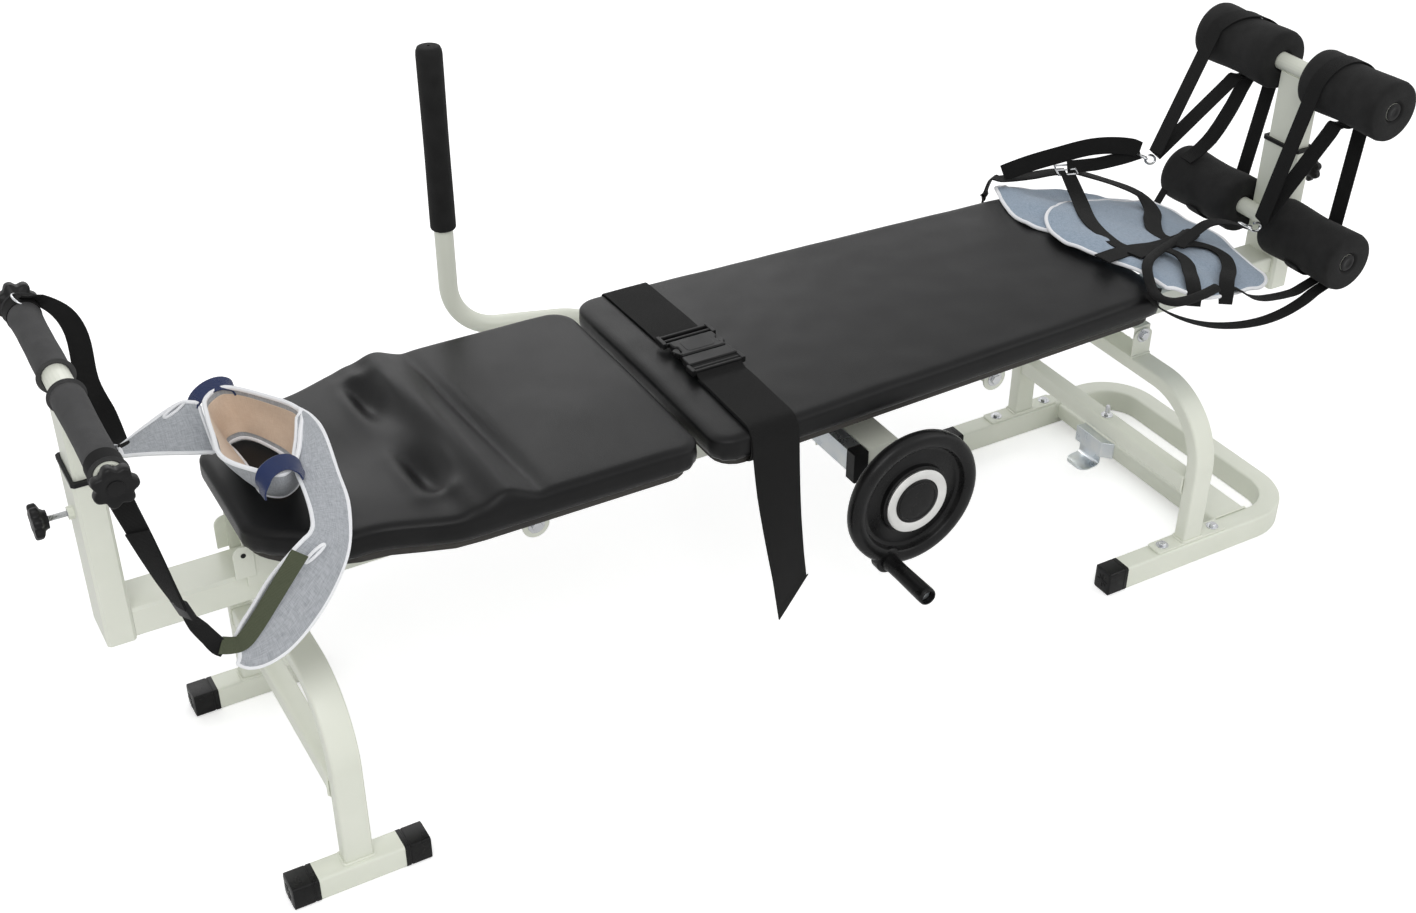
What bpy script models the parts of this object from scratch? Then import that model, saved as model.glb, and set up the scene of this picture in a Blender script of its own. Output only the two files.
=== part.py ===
"""Traction table: a steel bed frame with two pads, a sliding foot end and a head mast.

Metres, +Z up. X runs along the bed with the foot end at +X. Y = 0 is the symmetry plane and the
drive wheel is on the -Y side. The origin is on the floor, under the middle of the rear cross run.
"""

from math import atan2, ceil, cos, exp, pi, radians, sin, sqrt, tan

import bmesh
import bpy
from mathutils import Matrix, Vector

# Clearances
seat_gap = 0.0003
slide_gap = 0.0006
soft_gap = 0.0011
belt_gap = 0.0020
overrun = 0.004

# Stations along the bed, from the rear cross run towards the head
head_post_reach = 1.9335
front_arch_reach = 1.7185
rear_arch_reach = 0.2355
crossbeam_reach = 0.123
base_end_reach = 0.4165
foot_post_reach = 0.0843

# Main beam and the beam that slides in it
beam_width = 0.070
beam_height = 0.045
beam_floor = 0.367
beam_foot_end = -0.0255
tube_wall = 0.002
traction_width = 0.060
traction_height = 0.029
traction_overlap = 1.050
traction_roof_gap = 0.002
liner_length = 0.040
tube_corner = 0.004

# Posts and masts
post_width = 0.078
post_depth = 0.038
head_post_top = 0.618
foot_post_floor = 0.3485
foot_post_top = 0.605
mast_width = 0.068
mast_depth = 0.030
mast_insert = 0.170
liner_depth = 0.045
collar_lip = 0.0015
collar_height = 0.006
plug_height = 0.012

# Front and rear arches
arch_thick = 0.025
front_arch_depth = 0.042
front_arch_half = 0.232
front_arch_top = 0.316
front_arch_bend = 0.1075
rear_arch_depth = 0.040
rear_arch_half = 0.2425
rear_arch_top = 0.314
rear_arch_bend = 0.1175
crossbar_size = 0.030
front_crossbar_floor = 0.147
rear_crossbar_floor = 0.137

# Feet
foot_bar_width = 0.040
foot_bar_height = 0.038
foot_bar_half = 0.242
foot_bar_head_end = -1.8195
foot_bar_foot_end = -1.6175
cap_length = 0.039
cap_spigot = 0.020
cap_wall = 0.003
base_tube_width = 0.036
base_tube_height = 0.044
base_half = 0.248
base_bend = 0.082
crossbeam_width = 0.071
crossbeam_height = 0.030
crossbeam_floor = 0.014
foot_plate_length = 0.150
foot_plate_width = 0.030
foot_plate_thick = 0.004

# Hinge brackets between the arches and the beam
sheet = 0.003
saddle_half = 0.056
saddle_length = 0.038
ear_bolt_height = 0.352
ear_round = 0.0125
hanger_depth = 0.032
pivot_bolt_radius = 0.004
crossbar_hole_radius = 0.0045

# Pads
pad_end_reach = 0.3325
main_pad_length = 0.820
pad_split = 0.015
head_pad_length = 0.605
pad_floor = 0.4903
pad_height = 0.0452
pad_half = 0.226
pad_foot_half = 0.197
head_pad_half = 0.215
head_pad_nose_half = 0.115
head_pad_ear_half = 0.180
pad_corner = 0.035
pad_edge = 0.014
pad_tuck = 0.006
pad_crown = 0.005
pad_step = 0.040
board_thick = 0.012
board_inset = 0.012
neck_ridge_height = 0.017
neck_ridge_spread = 0.020
neck_ridge_from_nose = 0.300
head_dish_depth = 0.009
head_dish_spread = 0.055
head_dish_from_nose = 0.165
neck_hollow_depth = 0.011
neck_hollow_spread = 0.021
neck_hollow_from_nose = 0.255
neck_hollow_offset = 0.100

# Pad brackets
stub_size = 0.025
stub_height = 0.398
lug_half = 0.103
bracket_length = 0.040
head_bracket_reach = 1.3735
main_bracket_reach = 0.5855
nose_saddle_head_end = -1.7625
nose_saddle_length = 0.070
nose_saddle_drop = 0.018

# Handwheel and its drive
wheel_reach = 0.8425
wheel_height = 0.354
wheel_radius = 0.110
wheel_face = -0.263
wheel_rim = 0.022
wheel_rim_width = 0.024
wheel_web = 0.006
wheel_web_recess = 0.010
wheel_hub_radius = 0.056
silver_ring_radius = 0.052
silver_ring_bore = 0.0367
silver_ring_thick = 0.003
hub_cap_height = 0.004
shaft_radius = 0.008
boss_radius = 0.016
crank_radius = 0.104
crank_lobe_radius = 0.021
crank_angle = radians(247)
crank_grip_radius = 0.0125
crank_grip_length = 0.100
crank_pin_radius = 0.006
crank_pin_head = 0.0085
crank_pin_recess = 0.012
gear_module = 0.0015
gear_teeth = 24
gear_width = 0.014
rack_width = 0.010
rack_teeth = 34
tooth_share = 0.40
tooth_root_share = 1.25
drive_channel_length = 0.055
drive_channel_reach = 0.174
drive_channel_roof = 0.400
drive_channel_drop = 0.072
stay_depth = 0.025
stay_height = 0.040
stay_reach = 0.157
stay_plug_length = 0.020
stay_plug_drop = 0.012

# Head bar and its grips
head_bar_height = 0.738
head_bar_radius = 0.017
head_bar_half = 0.219
grip_radius = 0.021
grip_inner = 0.0255
grip_outer = 0.2145
bar_knob_radius = 0.0275
bar_knob_length = 0.027
knob_lobes = 7
knob_lobe_depth = 0.0045
lock_knob_radius = 0.024
lock_knob_length = 0.020
lock_knob_standoff = 0.024
lock_stud_radius = 0.004
lock_nut_radius = 0.009
lock_nut_length = 0.007
lock_below_top = 0.058

# Ankle rollers
roller_radius = 0.050
roller_inner = 0.040
roller_outer = 0.2025
roller_waist = 0.0025
roller_round = 0.010
roller_tube_radius = 0.0145
roller_plug_recess = 0.004
upper_roller_height = 0.7385
upper_roller_reach = 0.0807
lower_roller_height = 0.4803

# Side lever
lever_radius = 0.014
lever_pivot_reach = 1.0825
lever_side = 0.284
lever_upright_reach = 1.3255
lever_grip_floor = 0.672
lever_grip_top = 0.951
lever_grip_radius = 0.019
lever_bend = 0.070
lever_inner = 0.120
socket_wall = 0.003
socket_side = 0.036
socket_outer = 0.160

# Foot pedal
pedal_offset = 0.020
pedal_width = 0.030
pedal_pivot_height = 0.122
pedal_pin_radius = 0.003
pedal_tongue_height = 0.062
pedal_tongue_length = 0.052
pedal_thick = 0.003
pedal_bracket_depth = 0.018

# Webbing and cloth
web_thick = 0.0025
belt_width = 0.075
belt_from_nose = 0.0875
belt_tail_height = 0.209
belt_tail_shift = 0.028
buckle_length = 0.110
buckle_width = 0.088
buckle_thick = 0.013
buckle_offset = 0.018
cloth_thick = 0.004
strap_width = 0.025
strap_join_gap = 0.008
belt_columns = 6
belt_tail_shares = (0.05, 0.4, 0.7, 1.0)

# Neck sling
sling_reach = 1.7075
sling_half_length = 0.062
sling_half_width = 0.080
sling_height = 0.075
wing_tip_reach = 1.8175
wing_tip_side = 0.222
wing_tip_height = 0.425
wing_width = 0.070
wing_tilt = radians(40)
slider_reach = 1.8795
slider_height = 0.5256
far_tip_reach = 1.8675
far_tip_side = 0.100
far_tip_height = 0.565
neck_strap_shares = ((0, 0, 0), (0.35, 0.5, 0.3), (0.85, 1, 0.65), (0.95, 1, 0.9), (1, 1, 1))
near_wing_shares = (
    (0, 0, 0),
    (-0.15, 0.39, 0.0),
    (-0.15, 0.76, 0.12),
    (0.10, 0.97, 0.50),
    (0.50, 1, 0.84),
    (1, 1, 1),
)
far_wing_shares = ((0, 0, 0), (0.4, 0.6, 0.1), (1, 1, 1))

# Pelvic harness and its straps
harness_head_reach = 0.3775
harness_length = 0.355
harness_half = 0.205
harness_columns = 6
harness_slope = 0.30
harness_strap_start = 0.006
harness_shares = (
    (-1.0, 0.12),
    (-0.85, 0.45),
    (-0.65, 0.88),
    (-0.3, 0.97),
    (0.1, 1.0),
    (0.5, 0.92),
    (0.8, 0.75),
    (1.0, 0.42),
)
sag_end_shares = (0.6, 1.25)
sag_shares = ((0, 0, 0), (0.12, 0.1, 0.02), (0.22, 0.4, 0.45), (0.5, 1, 0.9), (1, 1, 1))
near_hook_shares = ((0, 0, 0), (0.15, 0.1, 0.05), (0.5, 0.5, 0.7), (1, 1, 1))
far_hook_shares = ((0, 0, 0), (0.15, 0.1, -0.15), (0.5, 0.5, -0.5), (1, 1, 1))
near_hook_reach = 0.0225
near_hook_side = 0.060
near_hook_height = 0.502
far_hook_reach = 0.0785
far_hook_side = 0.150
far_hook_height = 0.552
foot_strap_front = 0.105
foot_strap_drift = 0.008
foot_strap_turns = 6
near_strap_start = radians(168)
far_strap_start = radians(148)
foot_strap_end = radians(150)

# Counts of facets
round_steps = 20
wheel_steps = 32
small_steps = 10
bend_steps = 5
corner_steps = 1

head_post_x = -head_post_reach
front_arch_x = -front_arch_reach
rear_arch_x = -rear_arch_reach
beam_roof = beam_floor + beam_height
post_foot_face = head_post_x + post_depth / 2
traction_floor = beam_roof - tube_wall - traction_roof_gap - traction_height
main_pad_foot = -pad_end_reach
main_pad_nose = main_pad_foot - main_pad_length
head_pad_foot = main_pad_nose - pad_split
head_pad_nose = head_pad_foot - head_pad_length
pad_roof = pad_floor + pad_height
board_roof = pad_floor - seat_gap
board_floor = board_roof - board_thick
lever_height = board_floor - seat_gap - socket_wall - slide_gap - lever_radius
wheel_x = -wheel_reach
pitch_radius = gear_module * gear_teeth / 2
upper_roller_x = upper_roller_reach
lower_roller_x = foot_post_reach - post_depth / 2 - roller_tube_radius + seat_gap


def finish(name, colour, roughness, metallic=0.0):
    """A Principled material in one colour"""
    material = bpy.data.materials.new(name)
    material.use_nodes = True
    shader = material.node_tree.nodes["Principled BSDF"]
    shader.inputs["Base Color"].default_value = (*colour, 1.0)
    shader.inputs["Roughness"].default_value = roughness
    shader.inputs["Metallic"].default_value = metallic
    return material


def piece(name, bm, material, smooth=True):
    """A named object from a bmesh in world coordinates"""
    bmesh.ops.recalc_face_normals(bm, faces=bm.faces[:])
    mesh = bpy.data.meshes.new(name)
    bm.to_mesh(mesh)
    bm.free()
    if material:
        mesh.materials.append(material)
    if smooth:
        mesh.shade_smooth()
        mesh.set_sharp_from_angle(angle=radians(35))
    made = bpy.data.objects.new(name, mesh)
    bpy.context.collection.objects.link(made)
    return made


def combine(target, bm, operation):
    """Boolean of a piece with a hidden helper shape"""
    helper = piece(f"{target.name}_{operation.lower()}_{len(target.modifiers)}", bm, None, False)
    helper.hide_render = True
    helper.display_type = "WIRE"
    modifier = target.modifiers.new(operation.title(), "BOOLEAN")
    modifier.operation = operation
    modifier.object = helper


def cut(target, bm):
    combine(target, bm, "DIFFERENCE")


def weld(target, bm):
    combine(target, bm, "UNION")


def loft(rings, closed=False):
    """Skin over rings with equal numbers of points, capped unless the last meets the first"""
    bm = bmesh.new()
    loops = [[bm.verts.new(point) for point in ring] for ring in rings]
    followers = loops[1:] + loops[:1] if closed else loops[1:]
    for near, far in zip(loops, followers):
        count = len(near)
        for i in range(count):
            j = (i + 1) % count
            bm.faces.new((near[i], near[j], far[j], far[i]))
    if not closed:
        bm.faces.new(loops[0][::-1])
        bm.faces.new(loops[-1])
    return bm


def ring(outline, along, axis, centre=(0, 0, 0)):
    """A flat outline placed across an axis: X takes (y, z), Y takes (x, z) and Z takes (x, y)"""
    cx, cy, cz = centre
    if axis == "X":
        return [Vector((along, cy + u, cz + v)) for u, v in outline]
    if axis == "Y":
        return [Vector((cx + u, along, cz + v)) for u, v in outline]
    return [Vector((cx + u, cy + v, along)) for u, v in outline]


def prism(outline, low, high, axis, centre=(0, 0, 0)):
    return loft([ring(outline, low, axis, centre), ring(outline, high, axis, centre)])


def pipe(outer, inner, low, high, axis, centre=(0, 0, 0)):
    rings = [ring(outer, low, axis, centre), ring(outer, high, axis, centre)]
    rings += [ring(inner, high, axis, centre), ring(inner, low, axis, centre)]
    return loft(rings, closed=True)


def circle(radius, steps=round_steps, start=0.0):
    turns = [start + 2 * pi * k / steps for k in range(steps)]
    return [(radius * cos(turn), radius * sin(turn)) for turn in turns]


def rectangle(width, height, corner=0.0):
    """A rectangle about its centre, with round corners when a corner radius is given"""
    if not corner:
        signs = ((1, 1), (-1, 1), (-1, -1), (1, -1))
        return [(a * width / 2, b * height / 2) for a, b in signs]
    points = []
    for quarter, (a, b) in enumerate(((1, 1), (-1, 1), (-1, -1), (1, -1))):
        for k in range(corner_steps + 1):
            turn = (quarter + k / corner_steps) * pi / 2
            u = a * (width / 2 - corner) + corner * cos(turn)
            v = b * (height / 2 - corner) + corner * sin(turn)
            points.append((u, v))
    return points


def inside_of(width, height):
    """The bore of a rectangular tube with round corners"""
    return rectangle(width - 2 * tube_wall, height - 2 * tube_wall, tube_corner - tube_wall)


def turned(profile, axis, centre, steps=round_steps, closed=False):
    """Circles of a (radius, along) profile, as a solid or as a ring when closed"""
    rings = [ring(circle(radius, steps), along, axis, centre) for radius, along in profile]
    return loft(rings, closed)


def rounded_path(corners, radius, steps=bend_steps):
    """The line through some corners with each bend turned at a radius"""
    path = [corners[0]]
    for before, corner, after in zip(corners, corners[1:], corners[2:]):
        into = (corner - before).normalized()
        out = (after - corner).normalized()
        half = into.angle(out) / 2
        start = corner - into * radius * tan(half)
        centre = corner + (out - into).normalized() * radius / cos(half)
        axis = into.cross(out).normalized()
        for k in range(steps + 1):
            path.append(centre + Matrix.Rotation(2 * half * k / steps, 3, axis) @ (start - centre))
    path.append(corners[-1])
    return path


def frames(path, side):
    """Place, side and across directions at each point of a path, mitred at its bends"""
    placed = []
    for i, point in enumerate(path):
        into = (point - path[i - 1]).normalized() if i else None
        out = (path[i + 1] - point).normalized() if i + 1 < len(path) else None
        tangent = ((into or out) + (out or into)).normalized()
        side = (side - tangent * side.dot(tangent)).normalized()
        mitre = 1 / max(tangent.dot(into or out), sin(pi / 6))
        placed.append((point, side, tangent.cross(side), mitre))
    return placed


def swept(path, side, outline, bore=None):
    """A section carried along a path, hollow when it has a bore"""
    placed = frames(path, side)

    def rings(section):
        return [[p + s * u + a * v * m for u, v in section] for p, s, a, m in placed]

    if bore is None:
        return loft(rings(outline))
    return loft(rings(outline) + rings(bore)[::-1], closed=True)


def smooth_route(points, steps):
    """Catmull-Rom curve through points"""
    ends = [points[0] * 2 - points[1]] + points + [points[-1] * 2 - points[-2]]
    route = []
    for a, b, c, d in zip(ends, ends[1:], ends[2:], ends[3:]):
        for k in range(steps):
            t = k / steps
            bend = 2 * a - 5 * b + 4 * c - d
            twist = 3 * b - a - 3 * c + d
            route.append((2 * b + (c - a) * t + bend * t * t + twist * t ** 3) / 2)
    route.append(points[-1])
    return route


def webbing(points, across, width, steps=5, thick=web_thick):
    """A flat strap along a route; across gives the direction of its width at each point"""
    route = smooth_route(points, steps)
    sides = smooth_route(across, steps)
    rings = []
    for i, (point, side) in enumerate(zip(route, sides)):
        before = route[max(i - 1, 0)]
        after = route[min(i + 1, len(route) - 1)]
        tangent = (after - before).normalized()
        side = (side - tangent * side.dot(tangent)).normalized()
        normal = tangent.cross(side)
        half = side * width / 2
        lift = normal * thick / 2
        low, high = point - lift, point + lift
        rings.append([low - half, low + half, high + half, high - half])
    return loft(rings)


def lobed(radius, depth, lobes, points_per_lobe=5):
    """Outline of a knob with rounded lobes"""
    count = lobes * points_per_lobe
    outline = []
    for k in range(count):
        turn = 2 * pi * k / count
        reach = radius - depth * (1 - cos(lobes * turn)) / 2
        outline.append((reach * cos(turn), reach * sin(turn)))
    return outline


def lobed_knob(name, axis, centre, base, face, radius, material):
    """A lobed knob from its base to its face along an axis, with softened edges"""
    span = face - base
    levels = ((0.0, 0.82), (0.20, 1.0), (0.78, 1.0), (0.94, 0.93), (1.0, 0.78))
    rings = []
    for along_share, radius_share in levels:
        outline = lobed(radius * radius_share, knob_lobe_depth * radius_share, knob_lobes)
        rings.append(ring(outline, base + span * along_share, axis, centre))
    return piece(name, loft(rings), material)


def carry(name, place, names, holder=None):
    """Parent pieces to an empty on their joint's axis, with their origins there"""
    axis = bpy.data.objects.new(name, None)
    axis.location = Vector(place) - (Vector(holder["place"]) if holder else Vector())
    axis["place"] = place
    axis.parent = holder
    bpy.context.collection.objects.link(axis)
    shift = Matrix.Translation(-Vector(place))
    for part_name in names:
        made = bpy.data.objects[part_name]
        made.data.transform(shift)
        made.parent = axis
        for modifier in made.modifiers:
            modifier.object.data.transform(shift)
            modifier.object.parent = axis
    return axis


def both_sides():
    return (("near", -1), ("far", 1))


def blend_between(low, high, share):
    """Smooth step from low to high"""
    t = min(max(share, 0.0), 1.0)
    return low + (high - low) * t * t * (3 - 2 * t)


def build_main_beam():
    start = post_foot_face + seat_gap
    outer = rectangle(beam_width, beam_height, tube_corner)
    inner = inside_of(beam_width, beam_height)
    middle = (0, 0, beam_floor + beam_height / 2)
    beam = piece("main_beam", pipe(outer, inner, start, beam_foot_end, "X", middle), cream)
    slot_half = pitch_radius + gear_module
    slot = rectangle(2 * slot_half, gear_width + 2 * tube_wall)
    low = beam_floor - overrun
    cut(beam, prism(slot, low, beam_floor + tube_wall + seat_gap, "Z", (wheel_x, 0, 0)))
    weld_stubs(beam, -head_bracket_reach)
    weld_stubs(beam, -main_bracket_reach)
    weld_hanger(beam, front_arch_x)
    weld_hanger(beam, rear_arch_x)
    weld_bearing(beam)
    cavity = rectangle(
        beam_width - 2 * tube_wall - 2 * slide_gap,
        beam_height - 2 * tube_wall - 2 * slide_gap,
        tube_corner - tube_wall,
    )
    bore = liner_bore(slide_gap)
    mouth = beam_foot_end - liner_length
    piece("beam_liner", pipe(cavity, bore, mouth, beam_foot_end, "X", middle), black_plastic)


def liner_bore(clearance):
    """Opening round the traction beam, about the main beam's centre"""
    rise = traction_floor + traction_height / 2 - beam_floor - beam_height / 2
    outline = rectangle(traction_width + 2 * clearance, traction_height + 2 * clearance, tube_wall)
    return [(u, v + rise) for u, v in outline]


def build_post(name, x, floor_z, top):
    outer = rectangle(post_depth, post_width, tube_corner)
    inner = inside_of(post_depth, post_width)
    return piece(name, pipe(outer, inner, floor_z, top, "Z", (x, 0, 0)), cream)


def build_collar(name, x, top):
    """Plastic collar that lines the post's mouth and guides the mast"""
    lip = rectangle(post_depth + 2 * collar_lip, post_width + 2 * collar_lip, tube_corner)
    sleeve = rectangle(
        post_depth - 2 * tube_wall - 2 * seat_gap,
        post_width - 2 * tube_wall - 2 * seat_gap,
        tube_corner - tube_wall,
    )
    bore = rectangle(mast_depth + 2 * slide_gap, mast_width + 2 * slide_gap, tube_wall)
    seat = top + seat_gap
    levels = (
        (bore, top - liner_depth),
        (sleeve, top - liner_depth),
        (sleeve, seat),
        (lip, seat),
        (lip, seat + collar_height),
        (bore, seat + collar_height),
    )
    rings = [ring(outline, z, "Z", (x, 0, 0)) for outline, z in levels]
    return piece(name, loft(rings, closed=True), black_plastic)


def build_mast(name, x, floor_z, top):
    """Rectangular tube closed at its top"""
    outer = rectangle(mast_depth, mast_width, tube_corner)
    inner = inside_of(mast_depth, mast_width)
    levels = ((inner, top - sheet), (inner, floor_z), (outer, floor_z), (outer, top))
    rings = [ring(outline, z, "Z", (x, 0, 0)) for outline, z in levels]
    return piece(name, loft(rings), cream)


def build_lock_knob(name, x_face, direction, height):
    """Lobed knob on a stud that screws through a nut welded to the post"""
    nut_end = x_face + direction * lock_nut_length
    base = nut_end + direction * lock_knob_standoff
    face = base + direction * lock_knob_length
    knob = lobed_knob(name, "X", (0, 0, height), base, face, lock_knob_radius, black_plastic)
    start = x_face + direction * seat_gap
    shank = ((lock_stud_radius, start), (lock_stud_radius, base + direction * overrun))
    weld(knob, turned(shank, "X", (0, 0, height), small_steps))
    return knob


def build_lock_nut(post, x_face, direction, height):
    """Nut welded on the post, bored for the stud"""
    centre = (0, 0, height)
    outer = circle(lock_nut_radius, small_steps)
    end = x_face + direction * lock_nut_length
    weld(post, prism(outer, x_face - direction * tube_wall / 2, end, "X", centre))
    bore = circle(lock_stud_radius + slide_gap, small_steps)
    cut(post, prism(bore, x_face - direction * tube_wall * 2, end + direction * overrun, "X", centre))


def build_arch(name, x, half, top, bend, depth, floor_z):
    """Inverted U of flat tube that stands across the bed"""
    centre = half - arch_thick / 2
    roof = top - arch_thick / 2
    corners = [
        Vector((x, -centre, floor_z)),
        Vector((x, -centre, roof)),
        Vector((x, centre, roof)),
        Vector((x, centre, floor_z)),
    ]
    outer = rectangle(depth, arch_thick, tube_corner)
    bore = inside_of(depth, arch_thick)
    return piece(name, swept(rounded_path(corners, bend), Vector((1, 0, 0)), outer, bore), cream)


def weld_crossbar(arch, x, half, floor_z):
    """Square tube between an arch's legs, with a bolt hole through its middle"""
    outer = rectangle(crossbar_size, crossbar_size, tube_corner)
    bore = rectangle(crossbar_size - 2 * tube_wall, crossbar_size - 2 * tube_wall, tube_wall)
    inside = half - arch_thick + tube_wall / 2
    middle = (x, 0, floor_z + crossbar_size / 2)
    weld(arch, pipe(outer, bore, -inside, inside, "Y", middle))
    hole = circle(crossbar_hole_radius, small_steps)
    cut(arch, prism(hole, floor_z - overrun, floor_z + crossbar_size + overrun, "Z", (x, 0, 0)))


def build_plug_cap(name, width, height, y, outer_end, direction):
    """Plastic end cap whose spigot fills the tube's mouth; direction points into the tube"""
    mouth = outer_end + direction * cap_length
    tip = mouth + direction * cap_spigot
    nose = cap_wall
    bore = 2 * tube_wall + 2 * seat_gap
    blunt = rectangle(width - nose, height - nose, tube_corner)
    block = rectangle(width, height, tube_corner)
    spigot = rectangle(width - bore, height - bore, tube_corner - tube_wall)
    levels = ((blunt, outer_end), (block, outer_end + direction * nose / 2), (block, mouth))
    levels += ((spigot, mouth), (spigot, tip))
    rings = [ring(outline, x, "X", (0, y, height / 2)) for outline, x in levels]
    return piece(name, loft(rings), black_plastic)


def weld_front_feet(arch):
    """Foot bar under each leg of the front arch, with the leg open into it"""
    outer = rectangle(foot_bar_width, foot_bar_height, tube_corner)
    bore = inside_of(foot_bar_width, foot_bar_height)
    start = foot_bar_head_end + cap_length + seat_gap
    end = foot_bar_foot_end - cap_length - seat_gap
    for side, sign in both_sides():
        y = sign * (foot_bar_half - foot_bar_width / 2)
        middle = (0, y, foot_bar_height / 2)
        weld(arch, pipe(outer, bore, start, end, "X", middle))
        open_leg(arch, front_arch_x, sign * (front_arch_half - arch_thick / 2), foot_bar_height)
        size = (foot_bar_width, foot_bar_height, y)
        build_plug_cap(f"front_cap_head_{side}", *size, foot_bar_head_end, 1)
        build_plug_cap(f"front_cap_foot_{side}", *size, foot_bar_foot_end, -1)


def build_rear_base():
    """Floor loop open towards the head, its end caps and the flat crossbeam between its sides"""
    centre = base_half - base_tube_width / 2
    height = base_tube_height / 2
    start = -base_end_reach + cap_length + seat_gap
    corners = [
        Vector((start, -centre, height)),
        Vector((0, -centre, height)),
        Vector((0, centre, height)),
        Vector((start, centre, height)),
    ]
    outer = rectangle(base_tube_height, base_tube_width, tube_corner)
    bore = inside_of(base_tube_height, base_tube_width)
    path = rounded_path(corners, base_bend)
    loop = piece("rear_base_loop", swept(path, Vector((0, 0, 1)), outer, bore), cream)
    for side, sign in both_sides():
        size = (base_tube_width, base_tube_height, sign * centre)
        build_plug_cap(f"rear_cap_{side}", *size, -base_end_reach, 1)
    outer = rectangle(crossbeam_width, crossbeam_height, tube_corner)
    bore = inside_of(crossbeam_width, crossbeam_height)
    inside = base_half - base_tube_width + tube_wall / 2
    middle = (-crossbeam_reach, 0, crossbeam_floor + crossbeam_height / 2)
    weld(loop, pipe(outer, bore, -inside, inside, "Y", middle))
    drain = circle(crossbar_hole_radius, small_steps)
    low = crossbeam_floor - overrun
    cut(loop, prism(drain, low, low + 2 * overrun, "Z", (-crossbeam_reach, 0, 0)))


def open_leg(arch, x, y, height):
    """Vent from a leg's bore through what it is welded to"""
    hole = rectangle(arch_thick / 2, arch_thick / 2)
    reach = tube_wall + overrun
    cut(arch, prism(hole, height - reach, height + reach, "Z", (x, y, 0)))


def build_front_arch():
    """Front arch with its saddle, cross tube and foot bars, welded into one"""
    floor_z = foot_bar_height - tube_wall / 2
    size = (front_arch_half, front_arch_top, front_arch_bend, front_arch_depth)
    arch = build_arch("front_arch", front_arch_x, *size, floor_z)
    bar_x = front_arch_x - front_arch_depth / 2 + crossbar_size / 2
    weld_crossbar(arch, bar_x, front_arch_half, front_crossbar_floor)
    weld_front_feet(arch)
    weld_saddle(arch, front_arch_x, front_arch_top)


def build_rear_arch():
    """Rear arch with a bolted foot plate welded under each leg"""
    plate_floor = base_tube_height + seat_gap
    leg_floor = plate_floor + foot_plate_thick / 2
    size = (rear_arch_half, rear_arch_top, rear_arch_bend, rear_arch_depth)
    arch = build_arch("rear_arch", rear_arch_x, *size, leg_floor)
    for side, sign in both_sides():
        y = sign * (rear_arch_half - foot_plate_width / 2 + tube_wall)
        outline = rectangle(foot_plate_length, foot_plate_width, tube_corner)
        top = plate_floor + foot_plate_thick
        weld(arch, prism(outline, plate_floor, top, "Z", (rear_arch_x, y, 0)))
        open_leg(arch, rear_arch_x, sign * (rear_arch_half - arch_thick / 2), leg_floor)
    bar_x = rear_arch_x - rear_arch_depth / 2 + crossbar_size / 2
    weld_crossbar(arch, bar_x, rear_arch_half, rear_crossbar_floor)
    weld_saddle(arch, rear_arch_x, rear_arch_top)


def round_ear(radius, height):
    """Outline of an ear that hangs round about its hole from a height above it"""
    points = [(radius, height), (-radius, height), (-radius, 0)]
    for k in range(1, small_steps):
        turn = pi + pi * k / small_steps
        points.append((radius * cos(turn), radius * sin(turn)))
    points.append((radius, 0))
    return points


def folded_channel(inner_half, wall, low, high, web_at_top):
    """Outline in (y, z) of a U or an inverted U folded from sheet"""
    outer = inner_half + wall
    if web_at_top:
        lip, web, inside = low, high, high - wall
    else:
        lip, web, inside = high, low, low + wall
    points = [(-outer, lip), (-outer, web), (outer, web), (outer, lip)]
    points += [(inner_half, lip), (inner_half, inside), (-inner_half, inside), (-inner_half, lip)]
    return points


def weld_saddle(arch, x, arch_top):
    """Upright ears on the arch's top for the pivot bolt"""
    ear_top = ear_bolt_height + ear_round
    inner = saddle_half - sheet
    low = arch_top - tube_wall / 2
    outline = folded_channel(inner, sheet, low, ear_top, False)
    half = saddle_length / 2
    weld(arch, prism(outline, x - half, x + half, "X"))
    reach = saddle_half + overrun
    cut(arch, bolt_hole(x, reach))
    for sign in (-1, 1):
        cut(arch, prism(ear_corner(sign), -reach, reach, "Y", (x, 0, 0)))


def weld_hanger(beam, x):
    """Folded hanger under the beam that the pivot bolt passes through"""
    inner = saddle_half - sheet - seat_gap
    low = ear_bolt_height - ear_round
    outline = folded_channel(inner - sheet, sheet, low, beam_floor + tube_wall / 2, True)
    half = hanger_depth / 2
    weld(beam, prism(outline, x - half, x + half, "X"))
    cut(beam, bolt_hole(x, saddle_half))


def bolt_hole(x, reach):
    hole = circle(pivot_bolt_radius + seat_gap, small_steps)
    return prism(hole, -reach, reach, "Y", (x, 0, ear_bolt_height))


def ear_corner(sign):
    """What is cut away to make an ear's top round"""
    half = saddle_length / 2
    ear_top = ear_bolt_height + ear_round
    points = [(sign * (half + overrun), ear_bolt_height), (sign * (half + overrun), ear_top + overrun)]
    points.append((0, ear_top + overrun))
    quarter = small_steps // 2
    for k in range(quarter + 1):
        turn = pi / 2 * (1 - k / quarter)
        points.append((sign * half * cos(turn), ear_bolt_height + ear_round * sin(turn)))
    return points


def edge_drop(distance, radius):
    """How far a quarter round has dropped at a distance inside the edge"""
    if distance >= radius:
        return 0.0
    return radius - sqrt(max(radius ** 2 - (radius - distance) ** 2, 0.0))


def main_pad_half(x):
    share = (x - main_pad_nose) / main_pad_length
    return pad_half + (pad_foot_half - pad_half) * share


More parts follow.
